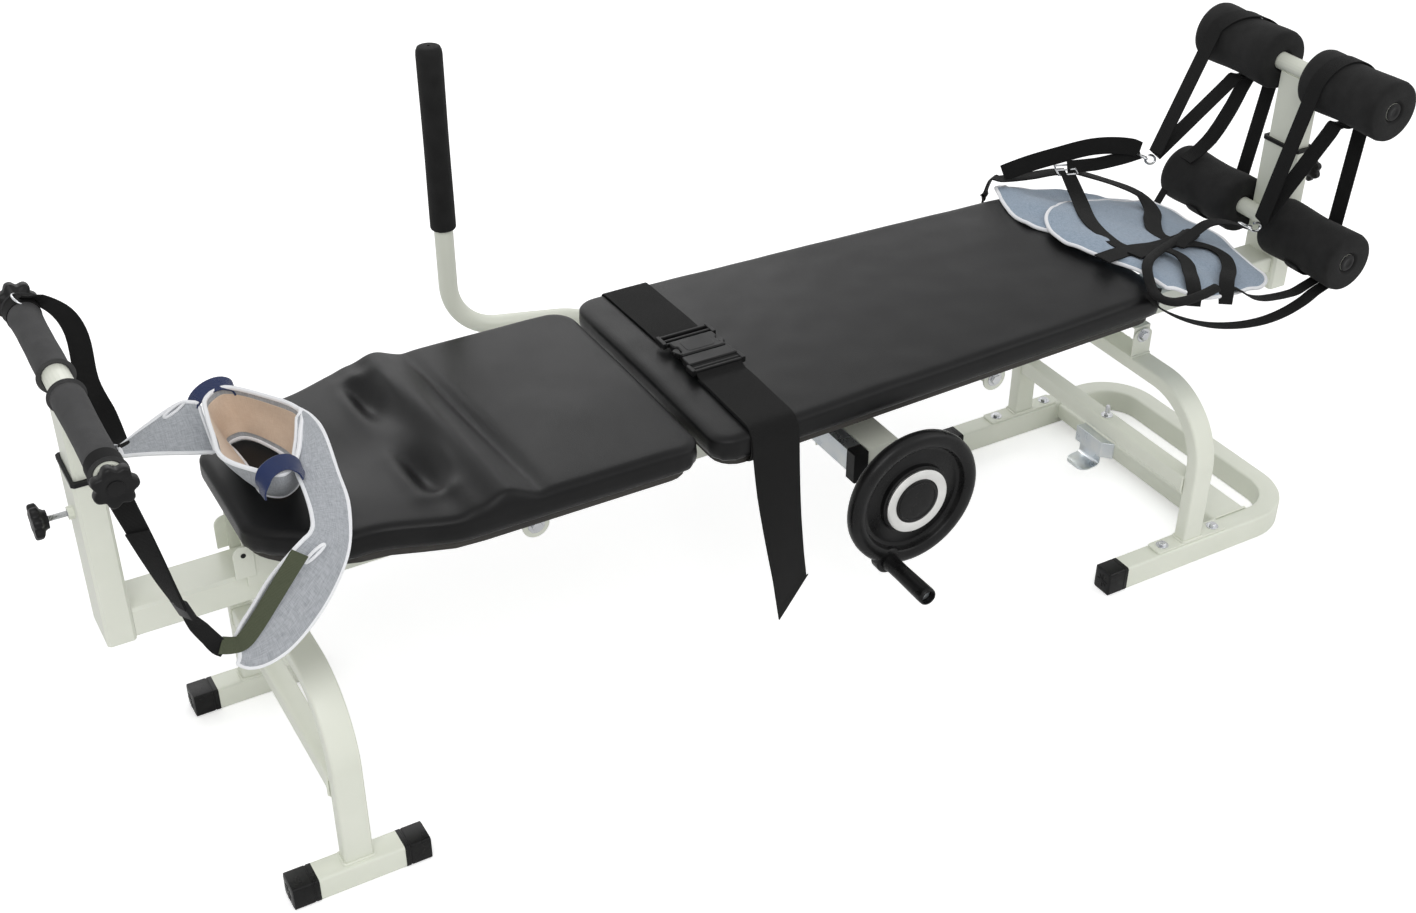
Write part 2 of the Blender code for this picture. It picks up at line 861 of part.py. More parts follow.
def head_pad_half_at(x):
    """Half width of the head pad: a blunt nose, cheeks and full width at the shoulders"""
    share = (x - head_pad_nose) / head_pad_length
    cheek = blend_between(head_pad_nose_half, head_pad_ear_half, share / 0.20)
    return cheek + blend_between(0.0, head_pad_half - head_pad_ear_half, (share - 0.22) / 0.22)


def bump(distance, spread):
    return exp(-((distance / spread) ** 2) / 2)


def head_pad_relief(x, y):
    """Rise of the neck ridge, less the dish for the head and the two neck hollows"""
    along = x - head_pad_nose
    ridge = neck_ridge_height * bump(along - neck_ridge_from_nose, neck_ridge_spread)
    dish = head_dish_depth * bump(along - head_dish_from_nose, head_dish_spread) * bump(y, head_dish_spread)
    hollow = bump(along - neck_hollow_from_nose, neck_hollow_spread)
    hollow *= bump(abs(y) - neck_hollow_offset, neck_hollow_spread)
    return ridge - dish - neck_hollow_depth * hollow


def no_relief(x, y):
    return 0.0


def pad_top(x, y, half, end_distance, relief):
    """Height of a pad's skin inside its rounded edge"""
    crown = pad_crown * (min(abs(y) / half, 1.0) ** 2)
    ends = pad_crown * edge_share(end_distance)
    return pad_roof - crown - ends + relief(x, y) - edge_drop(end_distance, pad_edge)


def main_pad_skin(x, y):
    """Height of the main pad's skin at a place"""
    distance = min(x - main_pad_nose, main_pad_foot - x)
    half = main_pad_half(x) - edge_drop(distance, pad_corner)
    return pad_top(x, y, half, distance, no_relief)


def head_pad_skin(x, y):
    """Height of the head pad's skin at a place"""
    distance = min(x - head_pad_nose, head_pad_foot - x)
    half = head_pad_half_at(x) - edge_drop(distance, pad_corner)
    return pad_top(x, y, half, distance, head_pad_relief)


def edge_share(distance):
    """Falls from one at a pad's end to nothing at one corner radius inside it"""
    return max(1 - distance / (2 * pad_corner), 0.0) ** 2


def pad_stations(nose, foot):
    """Places of a pad's cross-sections, close together at both ends"""
    near = [pad_edge * (1 - cos(pi / 2 * k / 3)) for k in range(4)]
    near += [pad_edge + (pad_corner - pad_edge) * k / 2 for k in (1, 2)]
    count = ceil((foot - nose - 2 * pad_corner) / pad_step)
    middle = [nose + pad_corner + (foot - nose - 2 * pad_corner) * k / count for k in range(1, count)]
    return [nose + d for d in near] + middle + [foot - d for d in reversed(near)]


def pad_ring(x, nose, foot, half_at, relief, shares):
    """Cross-section of a pad: flat base, tucked sides and a crowned skin"""
    distance = min(x - nose, foot - x)
    half = half_at(x) - edge_drop(distance, pad_corner)
    rise = edge_drop(distance, pad_edge)
    base = pad_floor + rise * pad_tuck / pad_edge
    side = [(half - pad_tuck, base), (half - pad_tuck / 4, base + pad_height / 5)]
    side += [(half, base + pad_height / 2)]
    skin = []
    for share in shares:
        y = (half - pad_edge) * share
        skin.append((y, pad_top(x, y, half, distance, relief)))
    shoulder_top = skin[0][1] - pad_edge / 3
    side.append((half - pad_edge / 4, min(shoulder_top, pad_roof - pad_edge * 2 / 3)))
    right = [(y, min(z, shoulder_top)) for y, z in side]
    left = [(-y, z) for y, z in reversed(right)]
    return [Vector((x, y, z)) for y, z in right + skin + left]


def build_pad(name, nose, foot, half_at, relief, columns, extra=()):
    shares = [1 - 2 * k / columns for k in range(columns + 1)]
    stations = sorted(pad_stations(nose, foot) + list(extra))
    rings = [pad_ring(x, nose, foot, half_at, relief, shares) for x in stations]
    return piece(name, loft(rings), black_vinyl)


def build_board(name, nose, foot, half_at):
    """Plywood under a pad, following its outline"""
    start = nose + board_inset
    end = foot - board_inset
    stations = pad_stations(start, end)
    side = []
    for x in stations:
        distance = min(x - start, end - x)
        side.append((x, half_at(x) - board_inset - edge_drop(distance, pad_corner)))
    outline = side + [(x, -y) for x, y in reversed(side)]
    return piece(name, prism(outline, board_floor, board_roof, "Z"), board_black, smooth=False)


def build_pads():
    build_pad("main_pad", main_pad_nose, main_pad_foot, main_pad_half, no_relief, 8)
    around = head_pad_nose + neck_ridge_from_nose
    extra = [around + neck_ridge_spread * k / 2 for k in range(-7, 6)]
    build_pad("head_pad", head_pad_nose, head_pad_foot, head_pad_half_at, head_pad_relief, 14, extra)
    build_board("main_pad_board", main_pad_nose, main_pad_foot, main_pad_half)
    build_board("head_pad_board", head_pad_nose, head_pad_foot, head_pad_half_at)


def build_pad_bracket(name, x):
    """Folded bracket under a board with a round lug each side, bolted to stubs on the beam"""
    inner = lug_half - sheet
    high = board_floor - seat_gap
    outline = folded_channel(inner, sheet, stub_height, high, True)
    half = bracket_length / 2
    bracket = piece(f"{name}_bracket", prism(outline, x - half, x + half, "X"), cream)
    for sign in (-1, 1):
        disc = circle(half, round_steps)
        sides = sorted((sign * inner, sign * lug_half))
        weld(bracket, prism(disc, *sides, "Y", (x, 0, stub_height)))
    hole = circle(pivot_bolt_radius + seat_gap, small_steps)
    reach = lug_half + overrun
    cut(bracket, prism(hole, -reach, reach, "Y", (x, 0, stub_height)))


def weld_stubs(beam, x):
    """Short square tubes on the beam's sides that a pad bracket bolts to"""
    outer = rectangle(stub_size, stub_size, tube_corner)
    bore = rectangle(stub_size - 2 * tube_wall, stub_size - 2 * tube_wall, tube_wall)
    for sign in (-1, 1):
        ends = sorted((sign * (beam_width - tube_wall) / 2, sign * (lug_half - sheet - seat_gap)))
        weld(beam, pipe(outer, bore, *ends, "Y", (x, 0, stub_height)))


def build_nose_saddle():
    """Channel that carries the head pad's nose over the beam"""
    inner = beam_width / 2 + seat_gap
    low = beam_roof - nose_saddle_drop
    outline = folded_channel(inner, sheet, low, board_floor - seat_gap, True)
    end = nose_saddle_head_end + nose_saddle_length
    piece("nose_saddle", prism(outline, nose_saddle_head_end, end, "X"), cream)


def gear_outline():
    """Spur gear with a gap between teeth straight above its shaft"""
    tip = pitch_radius + gear_module
    root = pitch_radius - gear_module * tooth_root_share
    step = 2 * pi / gear_teeth
    half = step * tooth_share / 2
    slope = tan(radians(20)) * gear_module / pitch_radius
    root_half = half + slope * tooth_root_share
    tip_half = half - slope
    flanks = ((-root_half, root), (-tip_half, tip), (tip_half, tip), (root_half, root))
    outline = []
    for k in range(gear_teeth):
        middle = pi / 2 + step * (k + 0.5)
        for turn, reach in flanks:
            outline.append((reach * cos(middle + turn), reach * sin(middle + turn)))
    return outline


def rack_outline():
    """Straight rack that meets the gear from above, in (x, z) about the shaft"""
    pitch = pi * gear_module
    tip = pitch_radius - gear_module
    root = pitch_radius + gear_module * tooth_root_share
    slope = tan(radians(20)) * gear_module
    half = pitch * tooth_share / 2
    first = -(rack_teeth - 8) * pitch
    outline = []
    for k in range(rack_teeth):
        middle = first + pitch * k
        root_half = half + slope * tooth_root_share
        tip_half = half - slope
        outline += [(middle - root_half, root), (middle - tip_half, tip)]
        outline += [(middle + tip_half, tip), (middle + root_half, root)]
    back = traction_floor - seat_gap - wheel_height
    end = outline[-1][0] + half
    start = outline[0][0] - half
    return [(start, back), (start, root)] + outline + [(end, root), (end, back)]


def wheel_outline(radius, lobe):
    """Circle with a round lobe that carries the crank"""
    if not lobe:
        return circle(radius, wheel_steps)
    outline = []
    for u, v in circle(radius, wheel_steps):
        turn = atan2(v, u) - crank_angle
        along = crank_radius * cos(turn)
        off = crank_radius * sin(turn)
        reach = radius
        room = (crank_lobe_radius + radius - wheel_radius) ** 2 - off ** 2
        if along > 0 and room > 0:
            reach = max(radius, along + sqrt(room))
        outline.append((u * reach / radius, v * reach / radius))
    return outline


def build_handwheel():
    """Dished handwheel with a lobe for the crank, ring, cap, shaft, gear and crank grip"""
    back = wheel_face + wheel_rim
    web_front = wheel_face + wheel_web_recess
    web_back = web_front + wheel_web
    inner = wheel_radius - wheel_rim_width
    soft = wheel_web / 2
    bore = shaft_radius + seat_gap
    ring_seat = silver_ring_radius + seat_gap
    ring_floor = wheel_face + silver_ring_thick + seat_gap
    levels = (
        (bore, False, ring_floor),
        (ring_seat, False, ring_floor),
        (ring_seat, False, wheel_face + soft / 2),
        (wheel_hub_radius, False, wheel_face + soft / 2),
        (wheel_hub_radius + soft, False, web_front),
        (inner - soft, False, web_front),
        (inner, False, wheel_face + soft / 2),
        (inner + soft, False, wheel_face),
        (wheel_radius - soft, True, wheel_face),
        (wheel_radius, True, wheel_face + soft),
        (wheel_radius, True, back - soft),
        (wheel_radius - soft, True, back),
        (inner + soft, False, back),
        (inner, False, back - soft),
        (inner - soft, False, web_back),
        (boss_radius + soft, False, web_back),
        (boss_radius, False, web_back + soft),
        (boss_radius, False, back + wheel_web),
        (bore, False, back + wheel_web),
    )
    centre = (wheel_x, 0, wheel_height)
    rings = [ring(wheel_outline(radius, lobe), y, "Y", centre) for radius, lobe, y in levels]
    wheel = piece("handwheel", loft(rings, closed=True), black_plastic)
    pin = (crank_radius * cos(crank_angle), crank_radius * sin(crank_angle))
    pin_centre = (wheel_x + pin[0], 0, wheel_height + pin[1])
    hole = circle(crank_pin_radius + seat_gap, small_steps)
    cut(wheel, prism(hole, wheel_face - overrun, back + overrun, "Y", pin_centre))
    build_wheel_trim(centre, ring_floor)
    build_shaft(centre)
    build_crank(pin_centre, back)


def build_wheel_trim(centre, ring_floor):
    floor_y = ring_floor - seat_gap
    outer = circle(silver_ring_radius, wheel_steps)
    inner = circle(silver_ring_bore, wheel_steps)
    face = wheel_face - hub_cap_height / 4
    piece("wheel_ring", pipe(outer, inner, face, floor_y, "Y", centre), silver)
    cap_radius = silver_ring_bore - seat_gap
    dome = wheel_face - hub_cap_height / 2
    profile = ((cap_radius, floor_y), (cap_radius, wheel_face), (cap_radius - hub_cap_height, dome))
    piece("wheel_cap", turned(profile, "Y", centre, wheel_steps), black_plastic)


def build_shaft(centre):
    """Shaft through both walls of the drive channel to the gear under the beam"""
    outer_end = wheel_face + silver_ring_thick + 2 * seat_gap
    inner_end = beam_width / 2 + 2 * sheet
    profile = ((shaft_radius, outer_end), (shaft_radius, inner_end))
    shaft = piece("wheel_shaft", turned(profile, "Y", centre), zinc)
    half = gear_width / 2
    keyed = prism(gear_outline(), -half, half, "Y", centre)
    weld(shaft, keyed)


def build_crank(centre, back):
    """Hollow crank grip that spins on a headed pin"""
    start = wheel_face - seat_gap
    end = start - crank_grip_length
    recess = end + crank_pin_recess
    bore = crank_pin_radius + slide_gap
    mouth = crank_pin_head + slide_gap
    soft = crank_pin_radius / 4
    profile = [
        (crank_grip_radius, start),
        (crank_grip_radius, end + soft),
        (crank_grip_radius - soft, end),
        (mouth, end),
        (mouth, recess),
        (bore, recess),
        (bore, start),
    ]
    piece("crank_grip", turned(profile, "Y", centre, closed=True), black_plastic)
    head = recess - seat_gap
    profile = [
        (crank_pin_head, head - crank_pin_recess / 4),
        (crank_pin_head, head),
        (crank_pin_radius, head),
        (crank_pin_radius, back),
    ]
    piece("crank_pin", turned(profile, "Y", centre, small_steps), zinc)


def weld_bearing(beam):
    """Plate on the beam's far side that carries the shaft's end"""
    centre = (wheel_x, 0, wheel_height)
    face = (beam_width - tube_wall) / 2
    ear = round_ear(shaft_radius + 2 * sheet, beam_floor + beam_height / 2 - wheel_height)
    weld(beam, prism(ear, face, face + sheet, "Y", centre))
    hole = circle(shaft_radius + slide_gap)
    cut(beam, prism(hole, face - overrun, face + sheet + overrun, "Y", centre))


def build_drive():
    """Channel that carries the shaft, the far bearing and the stay beside it"""
    half = drive_channel_length / 2
    low = drive_channel_roof - drive_channel_drop
    inner_face = -(beam_width / 2 + seat_gap)
    outer_face = -drive_channel_reach
    middle = (inner_face + outer_face) / 2
    span = (inner_face - outer_face) / 2
    outline = folded_channel(span - sheet, sheet, low, drive_channel_roof, True)
    channel = prism(outline, wheel_x - half, wheel_x + half, "X", (0, middle, 0))
    bracket = piece("drive_channel", channel, cream)
    hole = circle(shaft_radius + slide_gap)
    centre = (wheel_x, 0, wheel_height)
    cut(bracket, prism(hole, outer_face - overrun, inner_face + overrun, "Y", centre))
    stay_x = wheel_x - half - stay_depth / 2 - seat_gap
    outer = rectangle(stay_depth, stay_height, tube_wall)
    bore = rectangle(stay_depth - 2 * tube_wall, stay_height - 2 * tube_wall, tube_wall / 2)
    stay_middle = (stay_x, 0, drive_channel_roof - stay_height / 2)
    stay = pipe(outer, bore, -stay_reach, inner_face, "Y", stay_middle)
    piece("drive_stay", stay, zinc)
    plug = rectangle(stay_depth, stay_height + stay_plug_drop, tube_wall)
    spigot_size = 2 * tube_wall + 2 * seat_gap
    spigot = rectangle(stay_depth - spigot_size, stay_height - spigot_size, tube_wall / 2)
    lowered = [(u, v - stay_plug_drop / 2) for u, v in plug]
    mouth = -stay_reach - seat_gap
    levels = ((lowered, mouth - stay_plug_length), (lowered, mouth), (spigot, mouth))
    levels += ((spigot, mouth + cap_spigot),)
    rings = [ring(shape, y, "Y", stay_middle) for shape, y in levels]
    piece("drive_stay_plug", loft(rings), black_plastic)


def build_traction_carriage():
    """Sliding beam with its rack, tail glide and the foot post with its fixed rollers"""
    post_face = foot_post_reach - post_depth / 2
    start = post_face - traction_overlap - abs(beam_foot_end) - post_face
    outer = rectangle(traction_width, traction_height, tube_wall)
    bore = rectangle(traction_width - 2 * tube_wall, traction_height - 2 * tube_wall, tube_wall / 2)
    middle = (0, 0, traction_floor + traction_height / 2)
    beam = pipe(outer, bore, start, post_face - seat_gap, "X", middle)
    piece("traction_beam", beam, cream)
    half = rack_width / 2
    rack = prism(rack_outline(), -half, half, "Y", (wheel_x, 0, wheel_height))
    piece("traction_rack", rack, zinc)
    cavity = rectangle(
        beam_width - 2 * tube_wall - 2 * slide_gap,
        beam_height - 2 * tube_wall - 2 * slide_gap,
        tube_corner - tube_wall,
    )
    beam_middle = (0, 0, beam_floor + beam_height / 2)
    glide = pipe(cavity, liner_bore(seat_gap), start, start + liner_length, "X", beam_middle)
    piece("beam_glide", glide, black_plastic)
    post = build_post("foot_post", foot_post_reach, foot_post_floor, foot_post_top)
    knob_height = foot_post_top - lock_below_top
    foot_face = foot_post_reach + post_depth / 2
    build_lock_nut(post, foot_face, 1, knob_height)
    build_lock_knob("foot_lock_knob", foot_face + slide_gap, 1, knob_height)
    build_collar("foot_collar", foot_post_reach, foot_post_top)
    sleeve = 2 * tube_wall + 2 * seat_gap
    plug = rectangle(post_depth - sleeve, post_width - sleeve, tube_corner - tube_wall)
    plug_top = foot_post_floor + plug_height
    plug_shape = prism(plug, foot_post_floor, plug_top, "Z", (foot_post_reach, 0, 0))
    piece("foot_post_plug", plug_shape, black_plastic)
    build_rollers("lower", post, lower_roller_x, lower_roller_height)


def build_rollers(level, holder, x, height):
    """Cross tube welded to its holder, with a foam roller on each side"""
    centre = (x, 0, height)
    end = roller_outer - roller_plug_recess
    tube = circle(roller_tube_radius)
    weld(holder, pipe(tube, circle(roller_tube_radius - tube_wall), -end, end, "Y", centre))
    bore = roller_tube_radius + slide_gap
    for side, sign in both_sides():
        length = roller_outer - roller_inner
        middle = (roller_outer + roller_inner) / 2
        profile = [(bore, roller_inner), (roller_radius - roller_round, roller_inner)]
        for k in (1, 2):
            turn = pi / 2 * k / 2
            reach = roller_radius - roller_round * (1 - sin(turn))
            profile.append((reach, roller_inner + roller_round * (1 - cos(turn))))
        profile.append((roller_radius - roller_waist, middle - length / 6))
        profile.append((roller_radius - roller_waist, middle + length / 6))
        for k in (2, 1, 0):
            turn = pi / 2 * k / 2
            reach = roller_radius - roller_round * (1 - sin(turn))
            profile.append((reach, roller_outer - roller_round * (1 - cos(turn))))
        profile.append((bore, roller_outer))
        turned_profile = [(radius, sign * y) for radius, y in profile]
        foam = turned(turned_profile, "Y", centre, closed=True)
        piece(f"{level}_roller_{side}", foam, black_foam)


def build_roller_mast():
    top = upper_roller_height - roller_tube_radius + sheet
    mast = build_mast("roller_mast", foot_post_reach, foot_post_top - mast_insert, top)
    build_rollers("upper", mast, upper_roller_x, upper_roller_height)


def build_head_end():
    """Head post, mast with its cross bar, grips, end knobs and lock knob"""
    post = build_post("head_post", head_post_x, beam_floor, head_post_top)
    knob_height = head_post_top - lock_below_top
    head_face = head_post_x - post_depth / 2
    build_lock_nut(post, head_face, -1, knob_height)
    build_lock_knob("head_lock_knob", head_face - slide_gap, -1, knob_height)
    build_collar("head_collar", head_post_x, head_post_top)
    top = head_bar_height - grip_radius - slide_gap
    mast = build_mast("head_mast", head_post_x, head_post_top - mast_insert, top)
    neck = rectangle(mast_depth - 2 * tube_wall, 2 * (grip_inner - slide_gap), tube_wall)
    weld(mast, prism(neck, top - sheet / 2, head_bar_height, "Z", (head_post_x, 0, 0)))
    centre = (head_post_x, 0, head_bar_height)
    tube = circle(head_bar_radius)
    bore = circle(head_bar_radius - tube_wall)
    weld(mast, pipe(tube, bore, -head_bar_half, head_bar_half, "Y", centre))
    for side, sign in both_sides():
        build_head_grip(f"head_grip_{side}", sign, centre)
        base = sign * (head_bar_half + seat_gap)
        face = base + sign * bar_knob_length
        knob = lobed_knob(f"bar_knob_{side}", "Y", centre, base, face, bar_knob_radius, black_plastic)
        stud = head_bar_radius - tube_wall - slide_gap
        inner = sign * (head_bar_half - cap_spigot)
        spigot = ((stud, inner), (stud, base + sign * overrun))
        weld(knob, turned(spigot, "Y", centre))


def build_head_grip(name, sign, centre):
    soft = (grip_radius - head_bar_radius) / 2
    bore = head_bar_radius + seat_gap
    profile = [
        (bore, grip_inner),
        (grip_radius - soft, grip_inner),
        (grip_radius, grip_inner + soft),
        (grip_radius, grip_outer - soft),
        (grip_radius - soft, grip_outer),
        (bore, grip_outer),
    ]
    shape = turned([(radius, sign * y) for radius, y in profile], "Y", centre, closed=True)
    piece(name, shape, grey_foam)


def build_side_lever():
    """Bent lever tube, its foam grip and the cross socket under the main pad"""
    pivot_x = -lever_pivot_reach
    upright_x = -lever_upright_reach
    top = lever_grip_top - lever_grip_radius / 2
    corners = [
        Vector((pivot_x, lever_inner, lever_height)),
        Vector((pivot_x, lever_side, lever_height)),
        Vector((upright_x, lever_side, lever_height)),
        Vector((upright_x, lever_side, top)),
    ]
    path = rounded_path(corners, lever_bend)
    outline = circle(lever_radius, small_steps)
    bore = circle(lever_radius - tube_wall, small_steps)
    piece("side_lever", swept(path, Vector((0, 0, 1)), outline, bore), cream)
    centre = (upright_x, lever_side, 0)
    bore = lever_radius + seat_gap
    soft = (lever_grip_radius - lever_radius) / 2
    profile = [
        (bore, top + seat_gap),
        (bore, lever_grip_floor),
        (lever_grip_radius - soft, lever_grip_floor),
        (lever_grip_radius, lever_grip_floor + soft),
        (lever_grip_radius, lever_grip_top - 2 * soft),
        (lever_grip_radius - soft / 2, lever_grip_top - soft / 2),
        (lever_grip_radius - 2 * soft, lever_grip_top),
    ]
    piece("side_lever_grip", turned(profile, "Z", centre), black_foam)
    outer = rectangle(socket_side, 2 * (lever_radius + slide_gap + socket_wall), tube_corner)
    hollow = circle(lever_radius + slide_gap)
    inner_end = beam_width / 2 + seat_gap
    socket_middle = (pivot_x, 0, lever_height)
    socket = piece("lever_socket", prism(outer, inner_end, socket_outer, "Y", socket_middle), cream)
    low = beam_roof + seat_gap
    high = lever_height - lever_radius - slide_gap - socket_wall / 2
    outline = rectangle(socket_side, beam_width, tube_corner)
    centre = (pivot_x, 0, 0)
    weld(socket, prism(outline, low, high, "Z", centre))
    shelf = rectangle(socket_side, socket_outer + beam_width / 2)
    middle = (socket_outer - beam_width / 2) / 2
    weld(socket, prism(shelf, high - sheet, high, "Z", (pivot_x, middle, 0)))
    reach = socket_outer + overrun
    cut(socket, prism(hollow, inner_end - overrun, reach, "Y", socket_middle))


def build_pedal():
    """Zinc pedal hung from the rear crossbar on a pinned bracket"""
    face = rear_arch_x - rear_arch_depth / 2 - seat_gap
    centre_y = pedal_offset
    depth = pedal_bracket_depth
    high = rear_crossbar_floor + crossbar_size / 3
    low = pedal_pivot_height - pedal_bracket_depth / 2
    inner = pedal_width / 2 + seat_gap
    outline = [
        (face, -inner - sheet),
        (face, inner + sheet),
        (face - depth, inner + sheet),
        (face - depth, inner),
        (face - sheet, inner),
        (face - sheet, -inner),
        (face - depth, -inner),
        (face - depth, -inner - sheet),
    ]
    bracket = piece("pedal_bracket", prism(outline, low, high, "Z", (0, centre_y, 0)), zinc)
    pin_x = face - depth / 2 - sheet / 2
    hole = circle(pedal_pin_radius + slide_gap, small_steps)
    reach = inner + sheet + overrun
    pin_centre = (pin_x, centre_y, pedal_pivot_height)
    cut(bracket, prism(hole, centre_y - reach, centre_y + reach, "Y", pin_centre))
    half = pedal_thick / 2
    knee = Vector((pin_x, centre_y, pedal_tongue_height))
    toe = Vector((pin_x - pedal_tongue_length, centre_y, pedal_tongue_height - pedal_thick))
    top = Vector((pin_x, centre_y, pedal_pivot_height + pedal_pin_radius))
    path = rounded_path([top, knee, toe], pedal_bracket_depth / 2, small_steps // 3)
    flat = rectangle(pedal_width - 2 * slide_gap, 2 * half)
    pedal = piece("latch_pedal", swept(path, Vector((0, 1, 0)), flat), zinc)
    pin = circle(pedal_pin_radius, small_steps)
    pin_reach = inner + sheet + slide_gap
    weld(pedal, prism(pin, centre_y - pin_reach, centre_y + pin_reach, "Y", pin_centre))


def around_pad(x, lift):
    """The main pad's section at a station, moved outwards, from its far edge to its near edge"""
    shares = [1 - 2 * k / belt_columns for k in range(belt_columns + 1)]
    section = pad_ring(x, main_pad_nose, main_pad_foot, main_pad_half, no_relief, shares)
    moved = []
    for i, point in enumerate(section):
        before = section[max(i - 1, 0)]
        after = section[min(i + 1, len(section) - 1)]
        along = (after - before).normalized()
        moved.append(point + Vector((0, -along.z, along.y)) * -lift)
    return moved


def build_belt():
    """Waist belt round the main pad's far edge and over its top, with a hanging tail"""
    x = main_pad_nose + belt_from_nose
    lift = belt_gap + web_thick / 2
    under = board_floor - seat_gap - web_thick / 2
    section = around_pad(x, lift)
    out = section[0].y
    points = [Vector((x, out - 4 * pad_edge, under)), Vector((x, out - pad_edge / 3, under))]
    points += section
    hang = pad_floor - belt_tail_height
    for share in belt_tail_shares:
        points.append(Vector((x + belt_tail_shift * share, -out, pad_floor - hang * share)))
    along = [Vector((1, 0, 0))] * len(points)
    piece("waist_belt", webbing(points, along, belt_width, 1), black_webbing)
    low = pad_roof + belt_gap + web_thick + seat_gap
    outline = rectangle(buckle_width, buckle_length, tube_corner)
    body = prism(outline, low, low + buckle_thick, "Z", (x, -buckle_offset, 0))
    piece("belt_buckle", body, black_plastic)


def route(start, end, shares):
    """Points between two places, each coordinate at its own share of the way"""
    span = end - start
    return [Vector(start[i] + span[i] * point[i] for i in range(3)) for point in shares]


def sling_ring(radius_shrink, high):
    """One edge of the sling's band: level above, and on the head pad's skin below"""
    count = round_steps
    ring_points = []
    for k in range(count):
        turn = 2 * pi * k / count
        x = -sling_reach + (sling_half_length - radius_shrink) * cos(turn)
        y = (sling_half_width - radius_shrink) * sin(turn)
        ring_points.append(Vector((x, y, high or head_pad_skin(x, y) + soft_gap)))
    return ring_points


def build_sling():
    """Neck sling on the head pad: a band, a wing each side and the strap up to its slider"""
    low = pad_roof + soft_gap
    high = low + sling_height
    levels = ((0, 0), (0, high), (cloth_thick, high), (cloth_thick, 0))
    bands = [sling_ring(shrink, z) for shrink, z in levels]
    sling = piece("neck_sling", loft(bands, closed=True), grey_cloth)
    upright = Vector((0, 0, 1))
    start = Vector((-sling_reach, -sling_half_width + cloth_thick / 2, low + sling_height / 2))
    tip = Vector((-wing_tip_reach, -wing_tip_side, wing_tip_height))
    points = route(start, tip, near_wing_shares)
    tilt = Vector((sin(wing_tilt), 0, -cos(wing_tilt)))
    across = [upright * -1, upright * -1, tilt, tilt, tilt, tilt]
    weld(sling, webbing(points, across, wing_width, 3, cloth_thick))
    slider = Vector((-slider_reach, -wing_tip_side, slider_height))
    points = route(tip, slider, ((0, 0, 0), (0.5, 0.5, 0.3), (1, 1, 1)))
    weld(sling, webbing(points, [Vector((0, 1, 0))] * 3, strap_width, 3))
    start = Vector((-sling_reach, sling_half_width - cloth_thick / 2, low + sling_height / 2))
    tip = Vector((-far_tip_reach, far_tip_side, far_tip_height))
    points = route(start, tip, far_wing_shares)
    weld(sling, webbing(points, [upright] * len(points), wing_width * 3 / 4, 3, cloth_thick))
    build_neck_strap("near", slider, -1)
    build_neck_strap("far", tip, 1)


def build_neck_strap(side, low_end, sign):
    """Strap from the sling up to the end of the head bar"""
    start = low_end + Vector((-strap_join_gap, 0, strap_join_gap))
    top = head_bar_height - grip_radius - soft_gap / 2
    end = Vector((head_post_x, sign * (grip_outer - strap_width / 2), top))
    points = route(start, end, neck_strap_shares)
    across = [Vector((0, 1, 0))] * len(points)
    piece(f"neck_strap_{side}", webbing(points, across, strap_width, 4), black_webbing)


def harness_ring(side_share, foot_share):
    """One section of the draped harness, from the head edge to the foot edge and back"""
    y = harness_half * side_share
    start = -harness_head_reach
    knee = main_pad_foot - pad_edge
    end = start + harness_length * foot_share
    top = []
    for x in [start] + [knee + (end - knee) * k / harness_columns for k in range(harness_columns + 1)]:
        drop = (x - knee) * harness_slope if x > knee else 0.0
        skin = main_pad_skin(min(x, knee), y)
        top.append(Vector((x, y, skin + soft_gap + cloth_thick - drop)))
    return top + [point - Vector((0, 0, cloth_thick)) for point in reversed(top)]


def harness_middle(side_share):
    """A place inside the sheet near its head edge"""
    x = -harness_head_reach + harness_strap_start
    y = harness_half * side_share
    return Vector((x, y, main_pad_skin(x, y) + soft_gap + cloth_thick / 2))


def build_harness():
    """Pelvic harness on the foot end of the main pad, with its straps"""
    rings = [harness_ring(side, foot) for side, foot in harness_shares]
    harness = piece("pelvic_harness", loft(rings), blue_cloth)
    across = Vector((0, 1, 0))
    corner = harness_middle(-3 / 4)
    under_x = lower_roller_x - roller_radius * sag_end_shares[0]
    under_z = lower_roller_height - roller_radius * sag_end_shares[1]
    under = Vector((under_x, corner.y, under_z))
    points = route(corner, under, sag_shares)
    weld(harness, webbing(points, [across] * len(points), strap_width, 3))
    for share, hook, shares in ((-0.5, near_hook(), near_hook_shares), (0.5, far_hook(), far_hook_shares)):
        end = hook - Vector((strap_join_gap, 0, 0))
        points = route(harness_middle(share), end, shares)
        weld(harness, webbing(points, [across] * len(points), strap_width, 3))
    build_foot_strap("near", near_hook(), -1, near_strap_start)
    build_foot_strap("far", far_hook(), 1, far_strap_start)


def near_hook():
    return Vector((-near_hook_reach, -near_hook_side, near_hook_height))


def far_hook():
    return Vector((-far_hook_reach, far_hook_side, far_hook_height))


def around_roller(centre, lift, start, end):
    """Points round a roller from one turn to another, in the plane Y = 0"""
    x, z = centre
    turns = [start + (end - start) * k / foot_strap_turns for k in range(foot_strap_turns + 1)]
    return [Vector((x + lift * cos(turn), 0, z + lift * sin(turn))) for turn in turns]


def straight_between(a, b):
    """Two points that keep a route straight between its bends"""
    return [a.lerp(b, 1 / 8), a.lerp(b, 7 / 8)]


